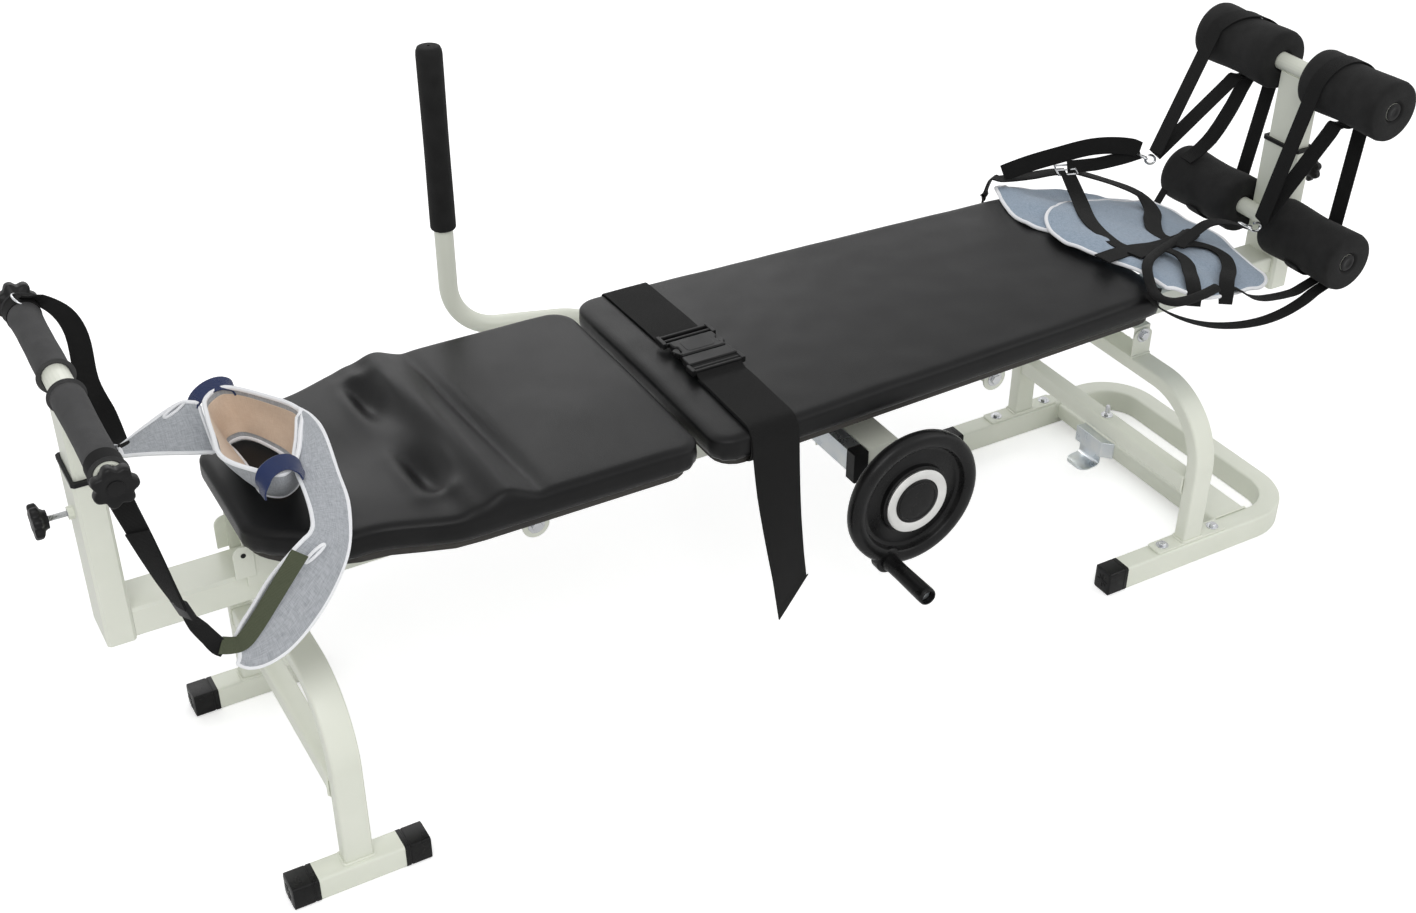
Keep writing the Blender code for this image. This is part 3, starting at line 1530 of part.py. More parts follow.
def build_foot_strap(side, hook, sign, start):
    """Strap from its hook over the upper roller and down behind the lower one"""
    lift = roller_radius + soft_gap + web_thick / 2
    over = around_roller((upper_roller_x, upper_roller_height), lift, start, 0.0)
    behind = around_roller((lower_roller_x, lower_roller_height), lift, 0.0, -foot_strap_end)
    y = sign * foot_strap_front
    for point in over + behind:
        point.y = y
        y += sign * foot_strap_drift
    points = [hook] + straight_between(hook, over[0]) + over
    points += straight_between(over[-1], behind[0]) + behind
    across = [Vector((0, 1, 0))] * len(points)
    piece(f"foot_strap_{side}", webbing(points, across, strap_width, 2), black_webbing)


for old in list(bpy.data.objects):
    bpy.data.objects.remove(old, do_unlink=True)

cream = finish("cream powder coat", (0.66, 0.69, 0.60), 0.45)
black_plastic = finish("black plastic", (0.02, 0.02, 0.02), 0.45)
black_vinyl = finish("black vinyl", (0.03, 0.03, 0.03), 0.40)
board_black = finish("black stained board", (0.03, 0.03, 0.03), 0.80)
black_foam = finish("black foam", (0.012, 0.012, 0.012), 0.90)
grey_foam = finish("dark grey foam", (0.06, 0.06, 0.06), 0.90)
grey_cloth = finish("heather grey cloth", (0.36, 0.38, 0.41), 0.90)
blue_cloth = finish("blue grey cloth", (0.36, 0.43, 0.50), 0.90)
black_webbing = finish("black webbing", (0.015, 0.015, 0.015), 0.85)
zinc = finish("zinc plate", (0.62, 0.66, 0.70), 0.30, 1.0)
silver = finish("silver ring", (0.80, 0.80, 0.78), 0.35, 0.6)

build_main_beam()
build_head_end()
build_front_arch()
build_rear_base()
build_rear_arch()
build_pads()
build_pad_bracket("head_pad", -head_bracket_reach)
build_pad_bracket("main_pad", -main_bracket_reach)
build_nose_saddle()
build_drive()
build_handwheel()
build_traction_carriage()
build_roller_mast()
build_side_lever()
build_pedal()
build_belt()
build_sling()
build_harness()

bar_place = (head_post_x, 0, head_bar_height)
grips = ["head_grip_near", "head_grip_far", "neck_strap_near", "neck_strap_far"]
head_bar = carry("head_bar_slide", bar_place, ["head_mast"] + grips)
carry("bar_knob_turn", bar_place, ["bar_knob_near", "bar_knob_far"], head_bar)
carry("head_lock_turn", (head_post_x, 0, head_post_top - lock_below_top), ["head_lock_knob"])
post_pieces = ["foot_post", "foot_collar", "foot_post_plug"]
carriage_pieces = ["traction_beam", "traction_rack", "beam_glide"] + post_pieces
carriage_place = (foot_post_reach, 0, traction_floor + traction_height / 2)
carriage = carry("traction_slide", carriage_place, carriage_pieces)
foot_lock_place = (foot_post_reach, 0, foot_post_top - lock_below_top)
carry("foot_lock_turn", foot_lock_place, ["foot_lock_knob"], carriage)
lower_place = (lower_roller_x, 0, lower_roller_height)
carry("lower_roller_turn", lower_place, ["lower_roller_near", "lower_roller_far"], carriage)
mast_place = (foot_post_reach, 0, foot_post_top)
mast = carry("roller_mast_slide", mast_place, ["roller_mast", "foot_strap_near", "foot_strap_far"], carriage)
upper_place = (upper_roller_x, 0, upper_roller_height)
carry("upper_roller_turn", upper_place, ["upper_roller_near", "upper_roller_far"], mast)
wheel_place = (wheel_x, 0, wheel_height)
wheel_pieces = ["handwheel", "wheel_ring", "wheel_cap", "wheel_shaft", "crank_pin"]
wheel = carry("handwheel_turn", wheel_place, wheel_pieces)
crank_x = wheel_x + crank_radius * cos(crank_angle)
crank_z = wheel_height + crank_radius * sin(crank_angle)
carry("crank_grip_turn", (crank_x, 0, crank_z), ["crank_grip"], wheel)
carry("side_lever_turn", (-lever_pivot_reach, 0, lever_height), ["side_lever", "side_lever_grip"])
pedal_x = rear_arch_x - rear_arch_depth / 2 - seat_gap - pedal_bracket_depth / 2 - sheet / 2
carry("pedal_turn", (pedal_x, pedal_offset, pedal_pivot_height), ["latch_pedal"])
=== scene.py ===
"""Traction table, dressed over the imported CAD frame. Metres, +Z up, foot end at +X."""

from math import atan2, ceil, cos, exp, pi, radians, sin, tan

import bmesh
import bpy
from mathutils import Matrix, Vector, noise


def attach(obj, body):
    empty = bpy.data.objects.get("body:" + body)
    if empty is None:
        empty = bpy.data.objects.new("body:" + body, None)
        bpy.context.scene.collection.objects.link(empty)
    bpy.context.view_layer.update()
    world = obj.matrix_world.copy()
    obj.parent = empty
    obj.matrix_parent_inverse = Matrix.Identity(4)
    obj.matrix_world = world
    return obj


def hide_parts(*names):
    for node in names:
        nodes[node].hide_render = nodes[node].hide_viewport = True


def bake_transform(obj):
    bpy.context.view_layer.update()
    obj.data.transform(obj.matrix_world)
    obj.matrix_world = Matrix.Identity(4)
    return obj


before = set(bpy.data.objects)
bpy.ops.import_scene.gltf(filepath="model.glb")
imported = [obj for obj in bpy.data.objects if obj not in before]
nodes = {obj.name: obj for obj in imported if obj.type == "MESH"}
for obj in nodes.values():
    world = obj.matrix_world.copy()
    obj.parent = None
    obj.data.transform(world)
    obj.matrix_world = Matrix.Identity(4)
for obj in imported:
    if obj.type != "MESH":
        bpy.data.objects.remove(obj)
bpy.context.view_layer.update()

tube_corner = 0.004
pad_floor = 0.4903
pad_height = 0.0452
pad_roof = pad_floor + pad_height
pad_edge = 0.014
pad_corner = 0.035
pad_crown = 0.005
cloth_lift = 0.0035
cloth_thick = 0.0036
main_foot, main_nose = -0.3325, -1.1525
head_foot, head_nose = -1.1675, -1.7725
head_post_x = -1.9335
wheel_centre = Vector((-0.8425, 0, 0.354))
wheel_face = -0.263
crank_place = (-0.88314, 0, 0.25827)
head_bar_z = 0.738
upper_roller = Vector((0.0807, 0, 0.7385))
lower_roller = Vector((0.0511, 0, 0.4803))
sides = (("near", -1), ("far", 1))
axis_line = {"X": Vector((1, 0, 0)), "Y": Vector((0, 1, 0)), "Z": Vector((0, 0, 1))}

# ---------------------------------------------------------------- materials


def shader_group(name, inputs, outputs):
    """An empty shader node group with named sockets"""
    tree = bpy.data.node_groups.new(name, "ShaderNodeTree")
    for label, kind, value in inputs:
        socket = tree.interface.new_socket(label, in_out="INPUT", socket_type=f"NodeSocket{kind}")
        if value is not None:
            socket.default_value = value
    for label, kind in outputs:
        tree.interface.new_socket(label, in_out="OUTPUT", socket_type=f"NodeSocket{kind}")
    return tree, tree.nodes.new("NodeGroupInput").outputs, tree.nodes.new("NodeGroupOutput").inputs


def feed(tree, socket, value):
    """Link another node's socket, or set a plain value"""
    if isinstance(value, bpy.types.NodeSocket):
        tree.links.new(value, socket)
    else:
        socket.default_value = value


def add_node(tree, kind, **sockets):
    made = tree.nodes.new(kind)
    for name, value in sockets.items():
        feed(tree, made.inputs[name.replace("_", " ")], value)
    return made


def maths(tree, operation, first, second):
    made = tree.nodes.new("ShaderNodeMath")
    made.operation = operation
    feed(tree, made.inputs[0], first)
    feed(tree, made.inputs[1], second)
    return made.outputs[0]


def mix_colours(tree, mask, dark, light):
    """Mix by a mask; a colour mix has its two colours at sockets 6 and 7"""
    mix = tree.nodes.new("ShaderNodeMix")
    mix.data_type = "RGBA"
    feed(tree, mix.inputs["Factor"], mask)
    feed(tree, mix.inputs[6], dark)
    feed(tree, mix.inputs[7], light)
    return mix.outputs[2]


def build_mottle():
    """Slow change between two colours, with a mask for roughness"""
    inputs = [
        ("Vector", "Vector", None), ("Scale", "Float", 10.0), ("Detail", "Float", 4.0),
        ("Dark", "Color", None), ("Light", "Color", None),
    ]
    tree, given, wanted = shader_group("mottle", inputs, [("Colour", "Color"), ("Mask", "Float")])
    clouds = add_node(tree, "ShaderNodeTexNoise", Vector=given[0], Scale=given[1], Detail=given[2])
    mask = add_node(tree, "ShaderNodeMapRange", Value=clouds.outputs["Fac"], From_Min=0.3, From_Max=0.7)
    mask = mask.outputs["Result"]
    tree.links.new(mix_colours(tree, mask, given[3], given[4]), wanted[0])
    tree.links.new(mask, wanted[1])
    return tree


def build_grain():
    """Height of a fine moulded, coated or foamed grain"""
    inputs = [("Vector", "Vector", None), ("Pebbles", "Float", 900.0), ("Dust", "Float", 2000.0)]
    tree, given, wanted = shader_group("grain", inputs, [("Height", "Float")])
    cells = add_node(tree, "ShaderNodeTexVoronoi", Vector=given[0], Scale=given[1])
    dust = add_node(tree, "ShaderNodeTexNoise", Vector=given[0], Scale=given[2], Detail=2.0)
    height = maths(tree, "ADD", cells.outputs["Distance"], dust.outputs["Fac"])
    tree.links.new(height, wanted[0])
    return tree


def build_weave():
    """Crossed threads on a UV map in metres, with the streaks of uneven yarn"""
    inputs = [
        ("Vector", "Vector", None), ("Threads", "Float", 300.0), ("Picks", "Float", 300.0),
        ("Waver", "Float", 0.0),
    ]
    tree, given, wanted = shader_group("weave", inputs, [("Threads", "Float"), ("Streaks", "Float")])
    bands = []
    for direction, scale in (("X", given[1]), ("Y", given[2])):
        band = add_node(tree, "ShaderNodeTexWave", Vector=given[0], Scale=scale, Distortion=given[3])
        band.bands_direction = direction
        bands.append(band.outputs["Fac"])
    tree.links.new(maths(tree, "MULTIPLY", *bands), wanted[0])
    streaks = []
    for stretch in ((9, 1, 1), (1, 9, 1)):
        turn = add_node(tree, "ShaderNodeMapping", Vector=given[0], Scale=stretch)
        yarn = add_node(tree, "ShaderNodeTexNoise", Vector=turn.outputs[0], Scale=90.0, Detail=4.0)
        streaks.append(yarn.outputs["Fac"])
    tree.links.new(maths(tree, "MULTIPLY", *streaks), wanted[1])
    return tree


mottle, grain, weave = build_mottle(), build_grain(), build_weave()


class Finish:
    """One Principled material with the shared effects placed in it"""

    def __init__(self, name, roughness, colour=(0.8, 0.8, 0.8), metallic=0.0,
                 sheen=0.0, coat=0.0, level=0.5):
        self.material = bpy.data.materials.new(name)
        self.material.use_nodes = True
        self.tree = self.material.node_tree
        self.shader = self.tree.nodes["Principled BSDF"]
        values = {"Base Color": (*colour, 1.0), "Roughness": roughness, "Metallic": metallic}
        values |= {"Sheen Weight": sheen, "Coat Weight": coat, "Specular IOR Level": level}
        for socket, value in values.items():
            self.shader.inputs[socket].default_value = value
        places = self.tree.nodes.new("ShaderNodeTexCoord").outputs
        self.object_place, self.cloth_place = places["Object"], places["UV"]

    def group(self, tree, **sockets):
        made = self.tree.nodes.new("ShaderNodeGroup")
        made.node_tree = tree
        for name, value in sockets.items():
            feed(self.tree, made.inputs[name], value)
        return made.outputs

    def mottle(self, scale, dark, light, roughness=None, stretch=None, detail=4.0):
        place = self.object_place
        if stretch:
            place = add_node(self.tree, "ShaderNodeMapping", Vector=place, Scale=stretch).outputs[0]
        colours = {"Dark": (*dark, 1.0), "Light": (*light, 1.0)}
        effect = self.group(mottle, Vector=place, Scale=scale, Detail=detail, **colours)
        self.tree.links.new(effect["Colour"], self.shader.inputs["Base Color"])
        if roughness:
            low, high = roughness
            values = {"Value": effect["Mask"], "To_Min": low, "To_Max": high}
            span = add_node(self.tree, "ShaderNodeMapRange", **values)
            self.tree.links.new(span.outputs["Result"], self.shader.inputs["Roughness"])

    def raise_by(self, height, distance, strength):
        values = {"Height": height, "Distance": distance, "Strength": strength}
        raised = add_node(self.tree, "ShaderNodeBump", **values)
        self.tree.links.new(raised.outputs["Normal"], self.shader.inputs["Normal"])

    def grain(self, pebbles, dust, distance, strength):
        height = self.group(grain, Vector=self.object_place, Pebbles=pebbles, Dust=dust)["Height"]
        self.raise_by(height, distance, strength)

    def weave(self, threads, picks, waver, dark, light, streaks, distance, strength):
        effect = self.group(weave, Vector=self.cloth_place, Threads=threads, Picks=picks, Waver=waver)
        yarn = maths(self.tree, "MULTIPLY", effect["Streaks"], 4 * streaks)
        thread = maths(self.tree, "MULTIPLY", effect["Threads"], 1 - streaks)
        both = maths(self.tree, "ADD", yarn, thread)
        colour = mix_colours(self.tree, both, (*dark, 1.0), (*light, 1.0))
        self.tree.links.new(colour, self.shader.inputs["Base Color"])
        self.raise_by(effect["Threads"], distance, strength)


def powder_coat():
    finish = Finish("cream_powder_coat", 0.42, coat=0.15)
    finish.mottle(9, (0.74, 0.765, 0.665), (0.79, 0.81, 0.715), (0.36, 0.48))
    finish.grain(700, 1500, 0.00018, 0.25)
    return finish.material


def vinyl():
    finish = Finish("black_vinyl", 0.32, level=0.17)
    finish.mottle(14, (0.0045, 0.0045, 0.0048), (0.008, 0.008, 0.0083), (0.28, 0.38))
    finish.grain(950, 2600, 0.00035, 0.35)
    return finish.material


def foam(name, dark, light, roughness):
    finish = Finish(name, roughness, level=0.22, sheen=0.02)
    finish.mottle(40, dark, light)
    finish.grain(1100, 1500, 0.0006, 0.45)
    return finish.material


def moulded(name, dark, light, roughness):
    finish = Finish(name, roughness, level=0.2)
    finish.mottle(25, dark, light, (roughness - 0.06, roughness + 0.08))
    finish.grain(1400, 2400, 0.00015, 0.3)
    return finish.material


def board():
    finish = Finish("black_board", 0.7)
    finish.mottle(8, (0.014, 0.013, 0.012), (0.04, 0.036, 0.03), stretch=(1, 14, 60), detail=6.0)
    finish.grain(300, 500, 0.0004, 0.4)
    return finish.material


def plated(name, dark, light, roughness):
    finish = Finish(name, roughness, metallic=1.0)
    finish.mottle(30, dark, light, (roughness - 0.06, roughness + 0.12), detail=5.0)
    finish.grain(900, 1800, 0.00006, 0.2)
    return finish.material


def webbing_shade(name, dark, light, rib=0.0018):
    finish = Finish(name, 0.78, sheen=0.02, level=0.16)
    threads = 1 / (pi * rib)
    finish.weave(threads, threads * 1.4, 0.0, dark, light, 0.15, 0.0006, 0.8)
    return finish.material


def heather(name, dark, light, thread=0.0011):
    finish = Finish(name, 0.92, sheen=0.25, level=0.25)
    threads = 1 / (pi * thread)
    finish.weave(threads, threads, 1.5, dark, light, 0.7, 0.0004, 0.6)
    return finish.material


def cotton(name, dark, light):
    finish = Finish(name, 0.9, sheen=0.2, level=0.25)
    finish.weave(420, 300, 0.5, dark, light, 0.4, 0.0003, 0.5)
    return finish.material


def fuzzy(name, dark, light):
    finish = Finish(name, 0.95, sheen=0.4, level=0.2)
    finish.mottle(900, dark, light)
    finish.grain(1200, 1800, 0.0008, 0.8)
    return finish.material


cream = powder_coat()
black_vinyl = vinyl()
roller_foam = foam("black_roller_foam", (0.01, 0.01, 0.01), (0.016, 0.016, 0.016), 0.88)
grip_foam = foam("dark_grey_grip_foam", (0.05, 0.05, 0.051), (0.064, 0.064, 0.065), 0.8)
lever_foam = foam("black_lever_foam", (0.008, 0.008, 0.008), (0.013, 0.013, 0.013), 0.82)
plastic = moulded("black_moulded_plastic", (0.005, 0.005, 0.0052), (0.01, 0.01, 0.0103), 0.38)
gloss_plastic = moulded("black_cap_plastic", (0.005, 0.005, 0.005), (0.009, 0.009, 0.0093), 0.28)
board_black = board()
zinc = plated("zinc_plate", (0.6, 0.65, 0.7), (0.74, 0.76, 0.76), 0.28)
chrome = plated("chrome_plate", (0.5, 0.51, 0.53), (0.68, 0.69, 0.7), 0.2)
silver = plated("silver_ring_face", (0.74, 0.74, 0.72), (0.82, 0.82, 0.8), 0.34)
black_web = webbing_shade("black_webbing", (0.003, 0.003, 0.003), (0.012, 0.012, 0.012))
olive_web = webbing_shade("olive_webbing", (0.06, 0.07, 0.04), (0.13, 0.145, 0.095))
navy_loop = fuzzy("navy_hook_and_loop", (0.01, 0.02, 0.075), (0.022, 0.04, 0.13))
grey_cloth = heather("heather_grey_cloth", (0.19, 0.205, 0.23), (0.48, 0.5, 0.53))
blue_cloth = heather("blue_grey_cloth", (0.13, 0.18, 0.24), (0.34, 0.42, 0.52))
white_piping = cotton("white_piping", (0.84, 0.85, 0.88), (0.93, 0.94, 0.96))
tan_lining = cotton("tan_lining", (0.68, 0.51, 0.38), (0.86, 0.71, 0.57))
floor_white = Finish("studio_floor", 0.85, (0.93, 0.93, 0.93), level=0.2).material

# ---------------------------------------------------------------- geometry helpers


def pairs(ring):
    """Each item of a closed ring with the next one"""
    return zip(ring, ring[1:] + ring[:1])


def distances(points):
    """Distance along a route at each of its points"""
    along = [0.0]
    for near, far in zip(points, points[1:]):
        along.append(along[-1] + (far - near).length)
    return along


def circle(radius, steps=48):
    turns = [2 * pi * k / steps for k in range(steps)]
    return [(radius * cos(turn), radius * sin(turn)) for turn in turns]


def spin_outline(outline, turn):
    return [(u * cos(turn) - v * sin(turn), u * sin(turn) + v * cos(turn)) for u, v in outline]


def rectangle(width, height, corner=tube_corner, steps=4):
    points = []
    for quarter, (a, b) in enumerate(((1, 1), (-1, 1), (-1, -1), (1, -1))):
        for k in range(steps + 1):
            turn = (quarter + k / steps) * pi / 2
            u = a * (width / 2 - corner) + corner * cos(turn)
            v = b * (height / 2 - corner) + corner * sin(turn)
            points.append((u, v))
    return points


def place_ring(outline, along, axis, centre):
    cx, cy, cz = centre
    if axis == "X":
        return [Vector((along, cy + u, cz + v)) for u, v in outline]
    if axis == "Y":
        return [Vector((cx + u, along, cz + v)) for u, v in outline]
    return [Vector((cx + u, cy + v, along)) for u, v in outline]


def draw_loop(bm, points):
    """A closed loop of edges through a few points"""
    loop = [bm.verts.new(point) for point in points]
    for pair in pairs(loop):
        bm.edges.new(pair)
    return loop


def extrude_loop(bm, loop, points):
    """Extrude a closed loop of edges and move it to its next place"""
    edges = [bm.edges.get(pair) for pair in pairs(loop)]
    fresh = set(bmesh.ops.extrude_edge_only(bm, edges=edges)["geom"])
    moved = []
    for corner, point in zip(loop, points):
        others = [edge.other_vert(corner) for edge in corner.link_edges]
        moved.append(next(other for other in others if other in fresh))
        moved[-1].co = point
    return moved


def skin(rings, closed=False, caps=True):
    """Extrude one section from ring to ring, with UV in metres along and around"""
    bm = bmesh.new()
    uv = bm.loops.layers.uv.new("UVMap")
    loops = [draw_loop(bm, rings[0])]
    for ring in rings[1:] + rings[:1] * closed:
        loops.append(extrude_loop(bm, loops[-1], ring))
    along = distances([ring[0] for ring in rings + rings[:1]])
    middle = rings[len(rings) // 2]
    around = distances(middle + middle[:1])
    last = len(middle) - 1
    place = {corner: (a, i) for a, loop in enumerate(loops) for i, corner in enumerate(loop)}
    for face in bm.faces:
        seam = {place[corner][1] for corner in face.verts} == {0, last}
        for loop in face.loops:
            a, i = place[loop.vert]
            loop[uv].uv = (along[a], around[last + 1 if seam and i == 0 else i])
    if closed:
        bmesh.ops.remove_doubles(bm, verts=loops[0] + loops[-1], dist=1e-6)
    elif caps:
        for loop in (loops[0], loops[-1]):
            bmesh.ops.contextual_create(bm, geom=[bm.edges.get(pair) for pair in pairs(loop)])
    bmesh.ops.recalc_face_normals(bm, faces=bm.faces[:])
    return bm


def soften(made, width, angle):
    """Round a piece's sharp edges"""
    modifier = made.modifiers.new("Bevel", "BEVEL")
    modifier.width = width
    modifier.segments = 2
    modifier.limit_method = "ANGLE"
    modifier.angle_limit = radians(angle)


def put(name, bm, material, body, smooth=40, bevel=0.0, levels=0, replaced=()):
    """A shown piece from a bmesh, riding on a CAD body"""
    mesh = bpy.data.meshes.new(name)
    bm.to_mesh(mesh)
    bm.free()
    mesh.materials.append(material)
    mesh.shade_smooth()
    if smooth:
        mesh.set_sharp_from_angle(angle=radians(smooth))
    made = bpy.data.objects.new(name, mesh)
    bpy.context.collection.objects.link(made)
    if bevel:
        soften(made, bevel, 35)
    if levels:
        modifier = made.modifiers.new("Subdivision", "SUBSURF")
        modifier.levels = levels
        modifier.render_levels = levels
    if body:
        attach(made, body)
    if replaced:
        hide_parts(*replaced)
    return made


def turned(profile, axis, centre, steps=48, closed=False):
    """Spin a profile of radius and place about an axis; an open profile is closed at its ends"""
    bm = bmesh.new()
    bm.loops.layers.uv.new("UVMap")
    line = axis_line[axis]
    middle = Vector(centre) - line * Vector(centre).dot(line)
    points = [bm.verts.new(middle + line * along + line.zxy * radius) for radius, along in profile]
    geom = points + [bm.edges.new(pair) for pair in zip(points, points[1:])]
    if closed:
        geom.append(bm.edges.new((points[-1], points[0])))
    bmesh.ops.spin(bm, geom=geom, cent=middle, axis=line, angle=2 * pi, steps=steps, use_merge=True)
    bmesh.ops.remove_doubles(bm, verts=bm.verts[:], dist=1e-6)
    rims = [edge for edge in bm.edges if edge.is_boundary]
    if rims and not closed:
        bmesh.ops.holes_fill(bm, edges=rims, sides=0)
    bmesh.ops.recalc_face_normals(bm, faces=bm.faces[:])
    return bm


def prism(outline, low, high, axis, centre=(0, 0, 0)):
    """Extrude a flat outline from one place to another"""
    bm = bmesh.new()
    bm.loops.layers.uv.new("UVMap")
    start = draw_loop(bm, place_ring(outline, low, axis, centre))
    bmesh.ops.contextual_create(bm, geom=start)
    made = bmesh.ops.extrude_face_region(bm, geom=bm.faces[:])["geom"]
    far = [corner for corner in made if isinstance(corner, bmesh.types.BMVert)]
    bmesh.ops.translate(bm, verts=far, vec=axis_line[axis] * (high - low))
    bmesh.ops.recalc_face_normals(bm, faces=bm.faces[:])
    return bm


def rounded_path(corners, radius, steps=16):
    path = [corners[0]]
    for before, corner, after in zip(corners, corners[1:], corners[2:]):
        into = (corner - before).normalized()
        out = (after - corner).normalized()
        half = into.angle(out) / 2
        start = corner - into * radius * tan(half)
        centre = corner + (out - into).normalized() * radius / cos(half)
        axis = into.cross(out).normalized()
        for k in range(steps + 1):
            path.append(centre + Matrix.Rotation(2 * half * k / steps, 3, axis) @ (start - centre))
    path.append(corners[-1])
    return path


def smooth_route(points, steps, closed=False):
    """A smooth curve through points that doesn't overshoot where they lie unevenly"""
    points = [Vector(p) for p in points]
    if closed:
        ends = [points[-1]] + points + points[:2]
    else:
        ends = [points[0] * 2 - points[1]] + points + [points[-1] * 2 - points[-2]]
    route = []
    for a, b, c, d in zip(ends, ends[1:], ends[2:], ends[3:]):
        span = (c - b).length
        into = (c - a) * span / max((b - a).length + span, 1e-9)
        out = (d - b) * span / max((d - c).length + span, 1e-9)
        for k in range(steps):
            t = k / steps
            t2, t3 = t * t, t ** 3
            place = b * (2 * t3 - 3 * t2 + 1) + into * (t3 - 2 * t2 + t)
            route.append(place + c * (3 * t2 - 2 * t3) + out * (t3 - t2))
    if not closed:
        route.append(points[-1])
    return route


def swept_rings(path, side, outline, closed=False):
    """Sections square to a path; side may be one direction or one for each point"""
    rings = []
    count = len(path)
    several = isinstance(side, list)
    current = side[0] if several else side
    for i, point in enumerate(path):
        before = path[(i - 1) % count] if closed or i else point
        after = path[(i + 1) % count] if closed or i + 1 < count else point
        tangent = (after - before).normalized()
        current = side[i] if several else current
        current = (current - tangent * current.dot(tangent)).normalized()
        across = tangent.cross(current)
        rings.append([point + current * u + across * v for u, v in outline])
    return rings


def tube(name, points, radius, material, body, corners=8, closed=False):
    """A round bead, wire or rod along a smooth route"""
    path = smooth_route(points, 2, closed)
    side = (path[1] - path[0]).orthogonal()
    rings = swept_rings(path, side, circle(radius, corners), closed)
    return put(name, skin(rings, closed), material, body)


def strap_section(width, thick):
    """Flat webbing section with rolled edges"""
    half, rise = width / 2, thick / 2
    upper = [(half, 0), (half - rise / 2, rise), (0, rise * 1.15), (rise / 2 - half, rise)]
    return upper + [(-u, -v) for u, v in upper]


def strap(name, points, across, width, material, body, steps=5, thick=0.0022, replaced=()):
    """Webbing along a smooth route; across is the direction of its width at each point"""
    path = smooth_route(points, steps)
    if isinstance(across, list):
        sides = smooth_route(across, steps)
    else:
        sides = [Vector(across)] * len(path)
    rings = swept_rings(path, sides, strap_section(width, thick))
    return put(name, skin(rings), material, body, smooth=60, replaced=replaced)


def sheet_between(name, grid, thick, material, replaced):
    """Cloth with a thickness over a grid of points, with UV in metres"""
    bm = bmesh.new()
    uv = bm.loops.layers.uv.new("UVMap")
    rows, columns = len(grid), len(grid[0])
    normals = []
    for i in range(rows):
        normals.append([])
        for j in range(columns):
            a = grid[min(i + 1, rows - 1)][j] - grid[max(i - 1, 0)][j]
            b = grid[i][min(j + 1, columns - 1)] - grid[i][max(j - 1, 0)]
            normals[i].append(a.cross(b).normalized())
    layers = []
    for lift in (thick / 2, -thick / 2):
        layers.append([[bm.verts.new(p + n * lift) for p, n in zip(r, m)] for r, m in zip(grid, normals)])
    u, v = distances([row[columns // 2] for row in grid]), distances(grid[rows // 2])

    def quad(corners, places):
        face = bm.faces.new(corners)
        for loop, (i, j) in zip(face.loops, places):
            loop[uv].uv = (u[i], v[j])

    for i in range(rows - 1):
        for j in range(columns - 1):
            places = ((i, j), (i + 1, j), (i + 1, j + 1), (i, j + 1))
            quad([layers[0][p][q] for p, q in places], places)
            places = places[::-1]
            quad([layers[1][p][q] for p, q in places], places)
    for (i, j), (k, m) in pairs(rim_of([[(i, j) for j in range(columns)] for i in range(rows)])):
        corners = [layers[0][i][j], layers[0][k][m], layers[1][k][m], layers[1][i][j]]
        quad(corners[::-1], ((i, j), (k, m), (k, m), (i, j))[::-1])
    bmesh.ops.recalc_face_normals(bm, faces=bm.faces[:])
    return put(name, bm, material, "frame", smooth=60, levels=1, replaced=replaced)


def rim_of(grid):
    """The places round a grid's rim, as a closed route"""
    rim = [row[0] for row in grid] + list(grid[-1][1:])
    return rim + [row[-1] for row in grid[-2::-1]] + list(grid[0][-2:0:-1])


def grid_area(grid):
    area = 0.0
    for near, far in zip(grid, grid[1:]):
        for a, b, c, d in zip(near, near[1:], far[1:], far):
            area += ((c - a).cross(d - b)).length / 2
    return area


def piped_panel(name, grid, material, replaced, radius=0.0028):
    """A sheet of cloth with piping round its rim; its longest line each way and its area are worked out
    """
    trim = piping(f"{name}_piping", rim_of(grid), radius)
    made = sheet_between(name, grid, cloth_thick, material, replaced)
    flat = (max(distances(row)[-1] for row in grid), max(distances(line)[-1] for line in zip(*grid)))
    grid_area(grid)


def piping(name, points, radius):
    """Folded binding sewn round an edge"""
    return tube(name, points, radius, white_piping, "frame", closed=True)


def bolt(name, place, axis, direction, radius, dome=False):
    """Plated bolt head on its washer, standing on a face of the frame"""
    washer_thick, height = 0.0012, radius * 0.62
    start = place["XYZ".index(axis)]
    base = start + direction * washer_thick
    if dome:
        profile = [(1.0, 0.0), (1.0, 0.3), (0.8, 0.8), (0.45, 1.0)]
    else:
        profile = [(1.0, 0.0), (1.0, 0.82), (0.88, 1.0)]
    profile = [(radius * share, base + direction * height * up) for share, up in profile]
    if dome:
        head = turned(profile, axis, place, 24)
    else:
        head = skin([place_ring(circle(reach, 6), along, axis, place) for reach, along in profile])
    put(name, head, chrome, "frame", smooth=30, bevel=0.0004)
    ring = turned([(radius * 1.5, start - direction * 0.0002), (radius * 1.5, base)], axis, place, 24)
    put(f"{name}_washer", ring, chrome, "frame", bevel=0.0003)


def weld_bead(name, outline, along, axis, centre):
    """Lumpy fillet weld round a joint"""
    radius, spacing, path = 0.0028, 0.004, []
    for a, b in pairs(place_ring(outline, along, axis, centre)):
        count = max(int((b - a).length / spacing), 1)
        path += [a.lerp(b, k / count) for k in range(count)]
    rings = []
    for i, ring in enumerate(swept_rings(path, axis_line[axis], circle(radius, 6), True)):
        middle = sum(ring, Vector()) / len(ring)
        swell = 0.8 + 0.25 * sin(i * 2.4) * sin(i * 0.7)
        rings.append([middle + (p - middle) * swell for p in ring])
    put(name, skin(rings, True), cream, "frame")

# ---------------------------------------------------------------- CAD nodes that stay


